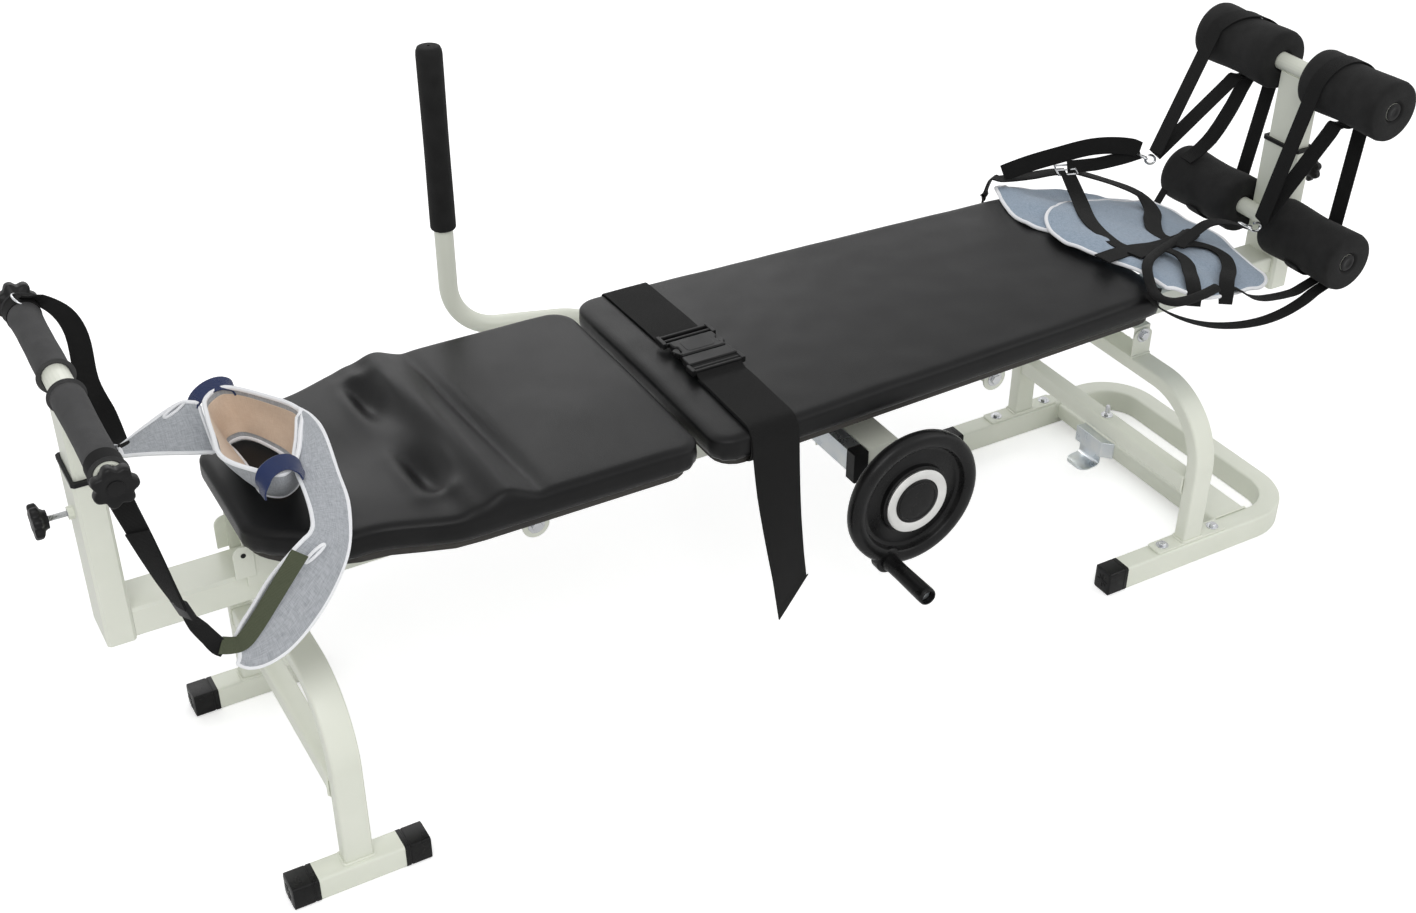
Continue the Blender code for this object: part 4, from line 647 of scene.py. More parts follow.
def dress(name, material, bevel):
    """Give a CAD node that stays its finish and softened edges"""
    node = nodes[name]
    for place in node.material_slots:
        place.material = material
    node.data.shade_smooth()
    node.data.set_sharp_from_angle(angle=radians(35))
    soften(node, bevel, 40)


kept_nodes = (
    (cream, 0.0006, "main_beam head_post head_mast head_pad_bracket main_pad_bracket nose_saddle"),
    (cream, 0.0006, "drive_channel traction_beam foot_post roller_mast lever_socket"),
    (plastic, 0.0006, "beam_liner head_collar beam_glide foot_collar foot_post_plug drive_stay_plug"),
    (board_black, 0.001, "head_pad_board main_pad_board"),
    (zinc, 0.0003, "drive_stay wheel_shaft crank_pin traction_rack"),
)
for material, bevel, names in kept_nodes:
    for name in names.split():
        dress(name, material, bevel)

# ---------------------------------------------------------------- pads


def bump(distance, spread):
    return exp(-((distance / spread) ** 2) / 2)


def ease(low, high, share):
    t = min(max(share, 0.0), 1.0)
    return low + (high - low) * t * t * (3 - 2 * t)


def main_half(x):
    return 0.226 - 0.029 * (x - main_nose) / (main_foot - main_nose)


def head_half(x):
    share = (x - head_nose) / (head_foot - head_nose)
    return ease(0.115, 0.18, share / 0.2) + ease(0.0, 0.035, (share - 0.22) / 0.22)


def main_relief(x, y):
    soft = 0.0012 * noise.noise(Vector((x * 7, y * 7, 1.3)))
    return soft + 0.0006 * noise.noise(Vector((x * 21, y * 21, 4.1)))


def head_relief(x, y):
    """Neck roll across the pad, the dish for the head and the pressed hollows beside the neck"""
    along = x - head_nose
    crest = 0.305 - 0.012 * (y / 0.2)
    roll = 0.019 * bump(along - crest, 0.02) * (0.75 + 0.25 * bump(y, 0.13))
    roll += 0.006 * bump(along - crest + 0.045, 0.01) * bump(abs(y) - 0.155, 0.045)
    dish = 0.009 * bump(along - 0.165, 0.055) * bump(y, 0.055)
    beside = abs(y - 0.01)
    hollow = 0.019 * bump(along - 0.25, 0.014) * bump(beside - 0.1, 0.035)
    rim = 0.005 * bump(along - 0.222, 0.009) * bump(beside - 0.1, 0.04)
    rim += 0.004 * bump(along - 0.248, 0.018) * bump(beside - 0.158, 0.01)
    rim += 0.004 * bump(along - 0.281, 0.007) * bump(beside - 0.1, 0.032)
    crease = 0.009 * bump(along - crest - 0.047, 0.0085) * bump(y, 0.13)
    soft = 0.0014 * noise.noise(Vector((x * 8, y * 8, 2.7)))
    return roll - dish - hollow + rim - crease + soft


def pad_skin(x, y, nose, foot, half_at, relief):
    ends = max(1 - min(x - nose, foot - x) / (2 * pad_corner), 0.0) ** 2
    crown = min(abs(y) / half_at(min(max(x, nose), foot)), 1.0) ** 2
    return pad_roof - pad_crown * (crown + ends) + relief(x, y)


def main_skin(x, y):
    return pad_skin(x, y, main_nose, main_foot, main_half, main_relief)


def head_skin(x, y):
    return pad_skin(x, y, head_nose, head_foot, head_half, head_relief)


def pad_side(nose, foot, half_at, spacing):
    """Half of a pad's outline, from the middle of its nose to the middle of its foot end"""
    bend = [(1 - cos(pi / 2 * k / 8), 1 - sin(pi / 2 * k / 8)) for k in range(9)]
    bend = [(pad_corner * along, pad_corner * inward) for along, inward in bend]
    nose_half = half_at(nose) - pad_corner
    count = ceil(nose_half / spacing)
    points = [Vector((nose, nose_half * k / count, 0)) for k in range(count)]
    points += [Vector((nose + along, half_at(nose + along) - inward, 0)) for along, inward in bend]
    count = ceil((foot - nose - 2 * pad_corner) / spacing)
    for k in range(1, count):
        x = nose + pad_corner + (foot - nose - 2 * pad_corner) * k / count
        points.append(Vector((x, half_at(x), 0)))
    points += [Vector((foot - along, half_at(foot - along) - inward, 0)) for along, inward in bend[::-1]]
    foot_half = half_at(foot) - pad_corner
    count = ceil(foot_half / spacing)
    return points + [Vector((foot, foot_half * k / count, 0)) for k in range(count - 1, -1, -1)]


def build_pad(name, nose, foot, half_at, relief, spacing):
    """Vinyl pad: tucked underneath, bulging sides with pulled corners, crowned skin"""
    side = pad_side(nose, foot, half_at, spacing)
    outline = side + [Vector((p.x, -p.y, 0)) for p in reversed(side[1:-1])]
    count = len(outline)
    outward, corner_near = [], []
    for i, p in enumerate(outline):
        along = outline[(i + 1) % count] - outline[i - 1]
        outward.append(Vector((-along.y, along.x, 0)).normalized())
        reach = min(abs(p.x - nose), abs(foot - p.x))
        corner_near.append(bump(reach - 0.01, 0.018) * bump(half_at(p.x) - abs(p.y) - 0.01, 0.02))
    side_height, shoulder_steps, top_rows = 0.031, 7, 30
    levels = [
        (0.03, 0.0), (0.012, 0.0), (0.006, 0.0008), (0.0022, 0.005), (0.0004, 0.012), (0.0, 0.02),
        (0.0003, 0.028),
    ]
    rings = []
    for inset, up in levels:
        ring = []
        for i, (p, o) in enumerate(zip(outline, outward)):
            pleat = 0.0012 * corner_near[i] * cos(i * 2.1) * (1 - up / 0.03) ** 0.5
            place = p - o * (inset + pleat)
            ring.append(Vector((place.x, place.y, pad_floor + up)))
        rings.append(ring)

    def on_top(place):
        return pad_skin(place.x, place.y, nose, foot, half_at, relief)

    low = pad_floor + side_height
    for k in range(1, shoulder_steps + 1):
        turn = pi / 2 * k / shoulder_steps
        inset = pad_edge * (1 - cos(turn))
        ring = [p - o * inset for p, o in zip(outline, outward)]
        rings.append([Vector((p.x, p.y, low + (on_top(p) - low) * sin(turn))) for p in ring])
    start = [p - o * pad_edge for p, o in zip(outline, outward)]
    reach = min(half_at(nose), half_at(foot)) - 0.01
    for k in range(1, top_rows + 1):
        ring = []
        for p in start:
            spine = Vector((min(max(p.x, nose + reach), foot - reach), 0, 0))
            place = p.lerp(spine, k / top_rows)
            ring.append(Vector((place.x, place.y, on_top(place))))
        rings.append(ring)
    bm = skin(rings, caps=False)
    bm.verts.ensure_lookup_table()
    bm.faces.new([bm.verts[i] for i in range(count)][::-1])
    bmesh.ops.remove_doubles(bm, verts=bm.verts[-count:], dist=0.0002)
    bmesh.ops.recalc_face_normals(bm, faces=bm.faces[:])
    made = put(f"{name}_vinyl", bm, black_vinyl, "frame", smooth=0, replaced=[name])


build_pad("main_pad", main_nose, main_foot, main_half, main_relief, 0.01)
build_pad("head_pad", head_nose, head_foot, head_half, head_relief, 0.005)

# ---------------------------------------------------------------- front legs


def build_arch(side_name, x, half, top, bend, depth, low):
    """Flat tube bent into two legs and a top"""
    y, roof = half - 0.0125, top - 0.0125
    corners = [Vector((x, *place)) for place in ((-y, low), (-y, roof), (y, roof), (y, low))]
    rings = swept_rings(rounded_path(corners, bend, 20), axis_line["X"], rectangle(depth, 0.025))
    put(f"{side_name}_arch_legs", skin(rings), cream, "frame", replaced=[f"{side_name}_arch"])


def build_crossbar(side_name, x, half, low):
    middle = (x, 0, low + 0.015)
    reach = half - 0.025
    bar = prism(rectangle(0.03, 0.03), -reach, reach, "Y", middle)
    put(f"{side_name}_crossbar", bar, cream, "frame")
    edge = rectangle(0.0325, 0.0325, 0.005)
    for side, sign in sides:
        weld_bead(f"{side_name}_crossbar_weld_{side}", edge, sign * (reach - 0.0005), "Y", middle)


def build_saddle(side_name, x, top):
    """Folded saddle with round ears, and the pivot bolt through it"""
    half, pivot_z, outer_y = 0.019, 0.352, 0.056
    ear = [(half, -0.0362), (-half, -0.0362), (-half, 0.0)]
    ear += [(half * cos(pi - pi * k / 16), 0.0125 * sin(pi * k / 16)) for k in range(1, 16)]
    ear += [(half, 0.0)]
    for side, sign in sides:
        low, high = sorted((sign * 0.053, sign * outer_y))
        shape = prism(ear, low, high, "Y", (x, 0, pivot_z))
        put(f"{side_name}_ear_{side}", shape, cream, "frame", bevel=0.0005)
    floor_plate = prism(rectangle(2 * half, 0.112, 0.001), top - 0.001, top + 0.003, "Z", (x, 0, 0))
    put(f"{side_name}_saddle_floor", floor_plate, cream, "frame", bevel=0.0005)
    bolt(f"{side_name}_pivot_head", (x, -outer_y, pivot_z), "Y", -1, 0.0085)
    bolt(f"{side_name}_pivot_nut", (x, outer_y, pivot_z), "Y", 1, 0.0075)
    edge = rectangle(2 * half + 0.001, 0.113, 0.003)
    weld_bead(f"{side_name}_saddle_weld", edge, top + 0.0005, "Z", (x, 0, 0))


def build_cap(name, y, height, width, outer, direction):
    """Moulded end cap with ribs on its sides and a rosette on its face"""
    levels = [
        (0.005, 0.0), (0.0022, 0.0006), (0.0, 0.0016), (0.0, 0.03), (0.0006, 0.0306), (0.0006, 0.0322),
        (0.0, 0.0328), (0.0, 0.0392),
    ]
    centre = (outer, y, height / 2)
    rings = []
    for shrink, inward in levels:
        outline = rectangle(width + 0.001 - 2 * shrink, height - 2 * shrink)
        rings.append(place_ring(outline, outer + direction * inward, "X", centre))
    put(f"{name}_moulding", skin(rings), gloss_plastic, "frame", replaced=[name])
    low, high = sorted((outer - direction * 0.0008, outer + direction * 0.001))
    blade = [(0.004, -0.0009), (0.0115, -0.0016), (0.0125, 0.0), (0.0115, 0.0016), (0.004, 0.0009)]
    for k in range(8):
        rib = prism(spin_outline(blade, 2 * pi * k / 8), low, high, "X", centre)
        put(f"{name}_rib_{k}", rib, gloss_plastic, "frame", bevel=0.0002)
    hub = [(0.0035, outer - direction * 0.001), (0.0035, outer + direction * 0.001)]
    put(f"{name}_hub", turned(hub, "X", centre, 20), gloss_plastic, "frame", bevel=0.0003)


front_x, rear_x = -1.7185, -0.2355
build_arch("front", front_x, 0.232, 0.316, 0.1075, 0.042, 0.037)
build_crossbar("front", front_x - 0.006, 0.232, 0.147)
build_saddle("front", front_x, 0.316)
for side, sign in sides:
    y = sign * 0.222
    bar = prism(rectangle(0.04, 0.038), -1.7802, -1.6568, "X", (0, y, 0.019))
    put(f"front_foot_bar_{side}", bar, cream, "frame")
    edge = rectangle(0.0445, 0.0275)
    weld_bead(f"front_leg_weld_{side}", edge, 0.0385, "Z", (front_x, sign * 0.2195, 0))
    build_cap(f"front_cap_head_{side}", y, 0.038, 0.04, -1.8195, 1)
    build_cap(f"front_cap_foot_{side}", y, 0.038, 0.04, -1.6175, -1)

# ---------------------------------------------------------------- rear legs and floor loop

build_arch("rear", rear_x, 0.2425, 0.314, 0.1175, 0.04, 0.0463)
build_crossbar("rear", rear_x - 0.005, 0.2425, 0.137)
build_saddle("rear", rear_x, 0.314)
corners = [(-0.3772, -0.23), (0, -0.23), (0, 0.23), (-0.3772, 0.23)]
route = rounded_path([Vector((*corner, 0.022)) for corner in corners], 0.082, 20)
rings = swept_rings(route, axis_line["Z"], rectangle(0.044, 0.036))
put("rear_floor_loop", skin(rings), cream, "frame", replaced=["rear_base_loop"])
middle = (-0.123, 0, 0.029)
beam = prism(rectangle(0.071, 0.03), -0.2125, 0.2125, "Y", middle)
put("rear_floor_crossbeam", beam, cream, "frame")
for side, sign in sides:
    edge = rectangle(0.0735, 0.0325, 0.005)
    weld_bead(f"rear_crossbeam_weld_{side}", edge, sign * 0.2118, "Y", middle)
    build_cap(f"rear_cap_{side}", sign * 0.23, 0.044, 0.036, -0.4165, 1)
    y, plate_top = sign * 0.2295, 0.0483
    plate = prism(rectangle(0.15, 0.03), 0.0443, plate_top, "Z", (rear_x, y, 0))
    put(f"rear_foot_plate_{side}", plate, cream, "frame", bevel=0.0006)
    edge = rectangle(0.0425, 0.0275)
    weld_bead(f"rear_leg_weld_{side}", edge, 0.049, "Z", (rear_x, sign * 0.23, 0))
    for end, x in (("head", -0.2905), ("foot", -0.1795)):
        bolt(f"foot_plate_bolt_{end}_{side}", (x, y, plate_top), "Z", 1, 0.007)
stud_x, stud_y = -0.2415, -0.0055
bolt("crossbar_bolt", (stud_x, stud_y, 0.167), "Z", 1, 0.007)
stud = turned([(0.004, 0.168), (0.004, 0.184), (0.0032, 0.1865)], "Z", (stud_x, stud_y, 0), 20)
put("crossbar_stud", stud, chrome, "frame")

# ---------------------------------------------------------------- pad brackets on the beam

lug_z = 0.398
for name, x in (("head_lug", -1.3735), ("main_lug", -0.5855)):
    for side, sign in sides:
        disc = turned([(0.0205, sign * 0.1003), (0.0205, sign * 0.1036)], "Y", (x, 0, lug_z), 40)
        put(f"{name}_disc_{side}", disc, cream, "frame", bevel=0.0005)
        bolt(f"{name}_bolt_{side}", (x, sign * 0.1036, lug_z), "Y", sign, 0.0085)
bolt("nose_saddle_bolt", (-1.7175, -0.0385, 0.402), "Y", -1, 0.006, dome=True)
tab_x = -1.7635
tab = [(0.014, -0.022), (-0.014, -0.022)]
tab += [(-0.014 * cos(pi * k / 12), 0.014 + 0.014 * sin(pi * k / 12)) for k in range(13)]
for side, sign in sides:
    low, high = sorted((sign * 0.0384, sign * 0.0414))
    put(f"nose_tab_{side}", prism(tab, low, high, "Y", (tab_x, 0, 0.434)), cream, "frame", bevel=0.0005)
    # a thin black disc laid on the tab: painted shade standing for the inside of the tab's hole
    hole_shade = turned([(0.0036, sign * 0.0415), (0.0036, sign * 0.0418)], "Y", (tab_x, 0, 0.448), 20)
    put(f"nose_tab_hole_shade_{side}", hole_shade, plastic, "frame")
for name, x in (("saddle_screw_a", -1.742), ("saddle_screw_b", -1.712)):
    bolt(name, (x, 0.01, 0.4775), "Z", -1, 0.0045, dome=True)

# ---------------------------------------------------------------- handwheel and crank


def build_wheel():
    """Dished wheel: rolled rim, sunk web with a step, raised hub with a ring and a cap, crank boss"""
    rim = [
        (0.0875, 0.0), (0.09, -0.0012), (0.096, -0.0024), (0.103, -0.002), (0.1075, 0.0005),
        (0.1098, 0.0045), (0.11, 0.011), (0.1088, 0.017), (0.106, 0.0205), (0.1, 0.0218),
    ]
    back = [
        (0.09, 0.0215), (0.0868, 0.0195), (0.086, 0.0165), (0.07, 0.016), (0.056, 0.016), (0.054, 0.017),
        (0.03, 0.0175), (0.0165, 0.018), (0.016, 0.0275), (0.0098, 0.0278),
    ]
    front = [
        (0.0098, 0.0015), (0.035, 0.0012), (0.0535, 0.0008), (0.0556, 0.0018), (0.0562, 0.0045),
        (0.0568, 0.0085), (0.06, 0.0098), (0.0745, 0.01), (0.0775, 0.0108), (0.08, 0.0106),
        (0.0835, 0.009), (0.0858, 0.005), (0.0866, 0.0015),
    ]
    ring = [
        (0.0368, -0.0002), (0.0368, -0.003), (0.038, -0.0036), (0.0508, -0.0036), (0.0519, -0.003),
        (0.0519, 0.0),
    ]
    cap = [
        (0.0363, 0.0008), (0.0363, -0.0022), (0.035, -0.0034), (0.03, -0.0044), (0.02, -0.0052),
        (0.01, -0.0055), (0.0012, -0.0056),
    ]
    groove = [(0.0322, -0.0045), (0.0318, -0.005), (0.0306, -0.0052), (0.03, -0.0047)]
    boss = [
        (0.0205, 0.0165), (0.0208, 0.001), (0.019, -0.0012), (0.014, -0.0016), (0.013, -0.0008),
        (0.009, -0.0008),
    ]
    dish = rim + back + front
    spun = (
        ("wheel_rim_and_web", dish, wheel_centre, 96, True, gloss_plastic, 35, ["handwheel"]),
        ("silver_wheel_ring", ring, wheel_centre, 80, True, silver, 30, ["wheel_ring"]),
        ("wheel_dome_cap", cap, wheel_centre, 64, False, gloss_plastic, 30, ["wheel_cap"]),
        ("wheel_cap_rim", groove, wheel_centre, 64, True, gloss_plastic, 30, ()),
        ("crank_boss", boss, crank_place, 40, False, gloss_plastic, 35, ()),
    )
    for name, profile, centre, steps, closed, material, smooth, replaced in spun:
        profile = [(radius, wheel_face + depth) for radius, depth in profile]
        bm = turned(profile, "Y", centre, steps, closed)
        put(name, bm, material, "drive_wheel", smooth=smooth, replaced=replaced)
    arm = [(-0.0205, 0.0), (-0.0225, 0.0105), (0.0225, 0.0105), (0.0205, 0.0)]
    turn = atan2(wheel_centre.x - crank_place[0], wheel_centre.z - crank_place[2])
    bm = prism(spin_outline(arm, -turn), -0.2625, -0.2465, "Y", crank_place)
    put("crank_boss_root", bm, gloss_plastic, "drive_wheel", bevel=0.0015)


def build_crank_grip():
    """Tapered free-turning grip with a flared foot, shallow rings and a hollow end"""
    near, far = -0.264, -0.3633
    profile = [
        (0.0098, far + 0.0118), (0.0098, far + 0.0012), (0.0105, far), (0.0122, far + 0.0004),
        (0.0134, far + 0.0022), (0.0138, far + 0.006), (0.0137, far + 0.015), (0.013, far + 0.048),
        (0.0126, far + 0.07), (0.0128, near - 0.012), (0.0138, near - 0.005), (0.0141, near - 0.002),
        (0.0132, near), (0.0098, near),
    ]
    bm = turned(profile, "Y", crank_place, 40)
    put("crank_sleeve", bm, gloss_plastic, "crank_handle", smooth=35, replaced=["crank_grip"])


build_wheel()
build_crank_grip()

# ---------------------------------------------------------------- knobs


def lobed(radius, lobes, depth, steps=12):
    outline = []
    for k in range(lobes * steps):
        turn = 2 * pi * k / (lobes * steps)
        wave = 0.5 + 0.5 * cos(turn * lobes)
        reach = radius - depth * (1 - wave) ** 1.4
        outline.append((reach * cos(turn), reach * sin(turn)))
    return outline


def star_knob(name, base, face, axis, centre, radius, body, replaced):
    """Lobed knob: tapered neck, rolled lobes, dished face with a cap"""
    lobes, groove = 7, radius * 0.2
    depth, neck, rings = face - base, radius * 0.52, []

    def station(share, outline, scale=1.0):
        scaled = [(u * scale, v * scale) for u, v in outline]
        rings.append(place_ring(scaled, base + depth * share, axis, centre))

    for share, scale, lobe in ((0.0, 0.97, 0.0), (0.12, 1.0, 0.0), (0.3, 1.0, 0.25), (0.42, 1.0, 0.85)):
        reach = neck + (radius * 0.95 - neck) * lobe
        station(share, lobed(reach, lobes, groove * lobe), scale)
    rolled = ((0.5, 0.985), (0.58, 1.0), (0.8, 1.0), (0.9, 0.985), (0.97, 0.94), (1.0, 0.86))
    for share, scale in rolled:
        station(share, lobed(radius, lobes, groove), scale)
    for share, scale in ((0.995, 0.6), (0.96, 0.52), (0.955, 0.3)):
        station(share, circle(radius * scale, lobes * 12))
    put(name, skin(rings), plastic, body, smooth=40, replaced=replaced)
    sign = 1 if depth > 0 else -1
    cap = [
        (radius * 0.36, base + depth * 0.94), (radius * 0.36, base + depth * 0.985),
        (radius * 0.3, base + depth), (radius * 0.02, base + depth + sign * 0.0004),
    ]
    put(f"{name}_cap", turned(cap, axis, centre, 32), gloss_plastic, body, smooth=30)


bar_centre = (head_post_x, 0, head_bar_z)
for side, sign in sides:
    base, face, body = sign * 0.2193, sign * 0.2459, f"bar_knob_{side[0]}"
    star_knob(f"end_knob_{side}", base, face, "Y", bar_centre, 0.0275, body, [f"bar_knob_{side}"])
locks = (
    ("head", 0.56, (-1.9841, -2.0037), (-1.9845, -1.954)),
    ("foot", 0.547, (0.1349, 0.1545), (0.1353, 0.1045)),
)
for end, height, (base, face), _ in locks:
    knob = f"{end}_lock_knob"
    star_knob(f"{end}_lock_star", base, face, "X", (0, 0, height), 0.024, f"{end}_lock", [knob])
for end, height, _, (base, tip) in locks:
    thread, inward = [], 0.0008 if tip > base else -0.0008
    for k in range(19):
        place = base + (tip - base) * k / 18
        thread += [(0.004, place), (0.0035, place + inward)]
    put(f"{end}_lock_stud", turned(thread, "X", (0, 0, height), 20), chrome, f"{end}_lock", smooth=20)

# ---------------------------------------------------------------- foam grips and rollers


def foam_sleeve(near, far, centre, radius, waist, core, recess, material, body, replaced):
    """Moulded foam sleeve with rolled ends, a slight waist and a recess round the bar"""
    length = far - near
    end = [
        (core, recess), (core + 0.0022, recess), (core + 0.0034, recess * 0.6),
        (core + 0.0046, recess * 0.15), (core + 0.007, 0.0002), (radius * 0.9, 0.0004),
        (radius * 0.965, 0.0026), (radius, 0.0085),
    ]
    profile = [(reach, near + inward) for reach, inward in end]
    for k in range(1, 12):
        share = k / 12
        reach = radius - waist * sin(pi * share) ** 2
        reach += 0.0005 * noise.noise(Vector((share * 5, near * 31, radius * 90)))
        profile.append((reach, near + 0.0085 + (length - 0.017) * share))
    profile += [(reach, far - inward) for reach, inward in end[::-1]]
    bm = turned(profile, "Y", centre, 64, closed=True)
    made = put(f"{replaced}_foam", bm, material, body, smooth=50, replaced=[replaced])


for side, sign in sides:
    near, far = sorted((sign * 0.0255, sign * 0.2142))
    grip = f"head_grip_{side}"
    foam_sleeve(near, far, bar_centre, 0.021, 0.0008, 0.0172, 0.0012, grip_foam, "head_bar", grip)
    near, far = sorted((sign * 0.0402, sign * 0.2023))
    for height, centre in (("upper", upper_roller), ("lower", lower_roller)):
        name, body = f"{height}_roller_{side}", f"{height}_roller_{side[0]}"
        foam_sleeve(near, far, centre, 0.05, 0.0025, 0.0147, 0.004, roller_foam, body, name)
        plug = [
            (0.0143, sign * 0.1988), (0.0143, sign * 0.2002), (0.0128, sign * 0.2012),
            (0.007, sign * 0.2014), (0.006, sign * 0.2008), (0.001, sign * 0.2008),
        ]
        holder = "ankle_mast" if height == "upper" else "traction_carriage"
        put(f"{name}_plug", turned(plug, "Y", centre, 40), plastic, holder, smooth=35)

# ---------------------------------------------------------------- foot pedal


def build_pedal():
    """Zinc tread hung on a pin between the cheeks of a plate on the rear crossbar"""
    face, depth, thick = -0.2555, 0.018, 0.0025
    low_y, high_y, foot_y = -0.0345, 0.031, -0.05
    outline = [
        (face, foot_y), (face, high_y), (face - depth, high_y), (face - depth, high_y - thick),
        (face - thick, high_y - thick), (face - thick, low_y + thick), (face - depth, low_y + thick),
        (face - depth, low_y), (face - thick, low_y), (face - thick, foot_y),
    ]
    plate, replaced = prism(outline, 0.106, 0.136, "Z"), ["pedal_bracket"]
    put("pedal_plate", plate, zinc, "frame", smooth=35, bevel=0.0004, replaced=replaced)
    pin_x, middle, half, tip = -0.26575, -0.00175, 0.026, 0.018
    top, knee = Vector((pin_x, middle, 0.133)), Vector((pin_x, middle, 0.084))
    toe = Vector((-0.302, middle, 0.08))
    path = rounded_path([top, knee, toe], 0.008, 10)[:-1]
    path += [knee.lerp(toe, share) for share in (0.55, 0.62, 0.7, 0.78, 0.85, 0.91, 0.955, 0.985, 1.0)]
    rings = swept_rings(path, axis_line["Y"], rectangle(2 * half, 0.003, 0.0006, 2))
    for place, ring in zip(path, rings):
        past = min(max((toe.x + tip - place.x) / tip, 0.0), 1.0)
        narrow = 0.4 + 0.6 * (1 - past ** 2) ** 0.5
        for corner in ring:
            corner.y = middle + (corner.y - middle) * narrow
    put("pedal_tread", skin(rings), zinc, "pedal", smooth=35, replaced=["latch_pedal"])
    ends = [Vector((pin_x, y, 0.122)) for y in (-0.0372, 0, 0.0337)]
    tube("pedal_pin", ends, 0.0036, zinc, "pedal", 20)


build_pedal()

# ---------------------------------------------------------------- side lever


def build_lever():
    """Bent lever tube with its capped end under a ribbed foam grip"""
    x, y = -1.3255, 0.284
    corners = [
        Vector((-1.0825, 0.12, 0.4601)), Vector((-1.0825, y, 0.4601)), Vector((x, y, 0.502)),
        Vector((x, y, 0.9415)),
    ]
    path = rounded_path(corners[:3], 0.07, 18)[:-1] + rounded_path(corners[1:], 0.088, 18)[1:]
    rings = swept_rings(path, axis_line["Z"], circle(0.014, 32))
    put("lever_tube", skin(rings), cream, "lever", smooth=50, replaced=["side_lever"])
    profile = [(0.0142, 0.6722), (0.018, 0.6722), (0.0189, 0.6738), (0.019, 0.6765)]
    profile += [(0.019 - 0.0006 * sin(pi * k / 8) ** 2, 0.6765 + 0.262 * k / 8) for k in range(1, 8)]
    profile += [(0.019, 0.9385), (0.0184, 0.9445), (0.0165, 0.949), (0.012, 0.9506)]
    profile += [(0.002, 0.9509), (0.002, 0.944), (0.0142, 0.9436)]
    bm = turned(profile, "Z", (x, y, 0), 40, closed=True)
    made = put("lever_grip_foam", bm, lever_foam, "lever", smooth=50, replaced=["side_lever_grip"])


build_lever()

# ---------------------------------------------------------------- waist belt

belt_x, buckle_y = -1.065, -0.018


def belt_route(lift, from_y, to_y, count):
    """Stations over the main pad's crown at one lift"""
    stations = [from_y + (to_y - from_y) * k / count for k in range(count + 1)]
    return [Vector((belt_x, y, main_skin(belt_x, y) + lift)) for y in stations]


def build_belt():
    """The two runs of the belt round the main pad and the long tail past the buckle"""
    x, width, lift, over = belt_x, 0.075, 0.0022, 0.0052
    half = main_half(x)
    edge, out = half + lift, half + over
    far = [
        (half - 0.056, 0.4764), (half - 0.024, 0.4766), (half - 0.006, 0.483), (edge, 0.495),
        (edge + 0.0006, 0.508), (edge - 0.0006, 0.52), (half - 0.0045, 0.5315),
    ]
    points = [Vector((x, y, z)) for y, z in far] + belt_route(lift, half - 0.018, 0.034, 8)
    strap("belt_far_run", points, axis_line["X"], width, black_web, "frame", 3, replaced=["waist_belt"])
    near = [
        (half - 0.0045, 0.5315), (edge - 0.0006, 0.52), (edge + 0.0006, 0.508), (edge + 0.0004, 0.496),
        (half - 0.003, 0.484), (half - 0.024, 0.4766), (half - 0.056, 0.4764),
    ]
    points = belt_route(lift, -0.078, -(half - 0.018), 6) + [Vector((x, -y, z)) for y, z in near]
    strap("belt_near_run", points, axis_line["X"], width, black_web, "frame", 3, replaced=["waist_belt"])
    points = [
        Vector((x, -0.052, 0.548)), Vector((x, -0.066, 0.5478)),
        Vector((x, -0.082, main_skin(x, -0.082) + over)),
    ]
    points += belt_route(over, -0.096, -(half - 0.022), 5)
    hang = [
        (0.0, half - 0.006, 0.534), (0.0005, out - 0.001, 0.52), (0.002, out + 0.0002, 0.49),
        (0.007, out + 0.001, 0.43), (0.015, out + 0.003, 0.36), (0.026, out + 0.004, 0.285),
        (0.038, out + 0.002, 0.211),
    ]
    twist = [0.0] * (len(points) + 3) + [0.1, 0.26, 0.4, 0.44]
    points += [Vector((x + shift, -y, z)) for shift, y, z in hang]
    across = [Vector((1, turn, 0)) for turn in twist]
    tail = strap("belt_tail", points, across, width, black_web, "frame", 3, replaced=["waist_belt"])
    left = min(corner.co.x for corner in tail.data.vertices if corner.co.z < 0.225)
    for corner in tail.data.vertices:
        if corner.co.z < 0.2202:
            corner.co.z += 0.03 * (corner.co.x - left) / width


def buckle_part(name, outline, low, high, bevel, replaced=(), lengthways=()):
    """A moulded part of the buckle: a flat outline raised from low to high, or a bar lengthways"""
    axis, centre = lengthways or ("Z", (belt_x, buckle_y, 0))
    put(name, prism(outline, low, high, axis, centre), plastic, "frame", bevel=bevel, replaced=replaced)


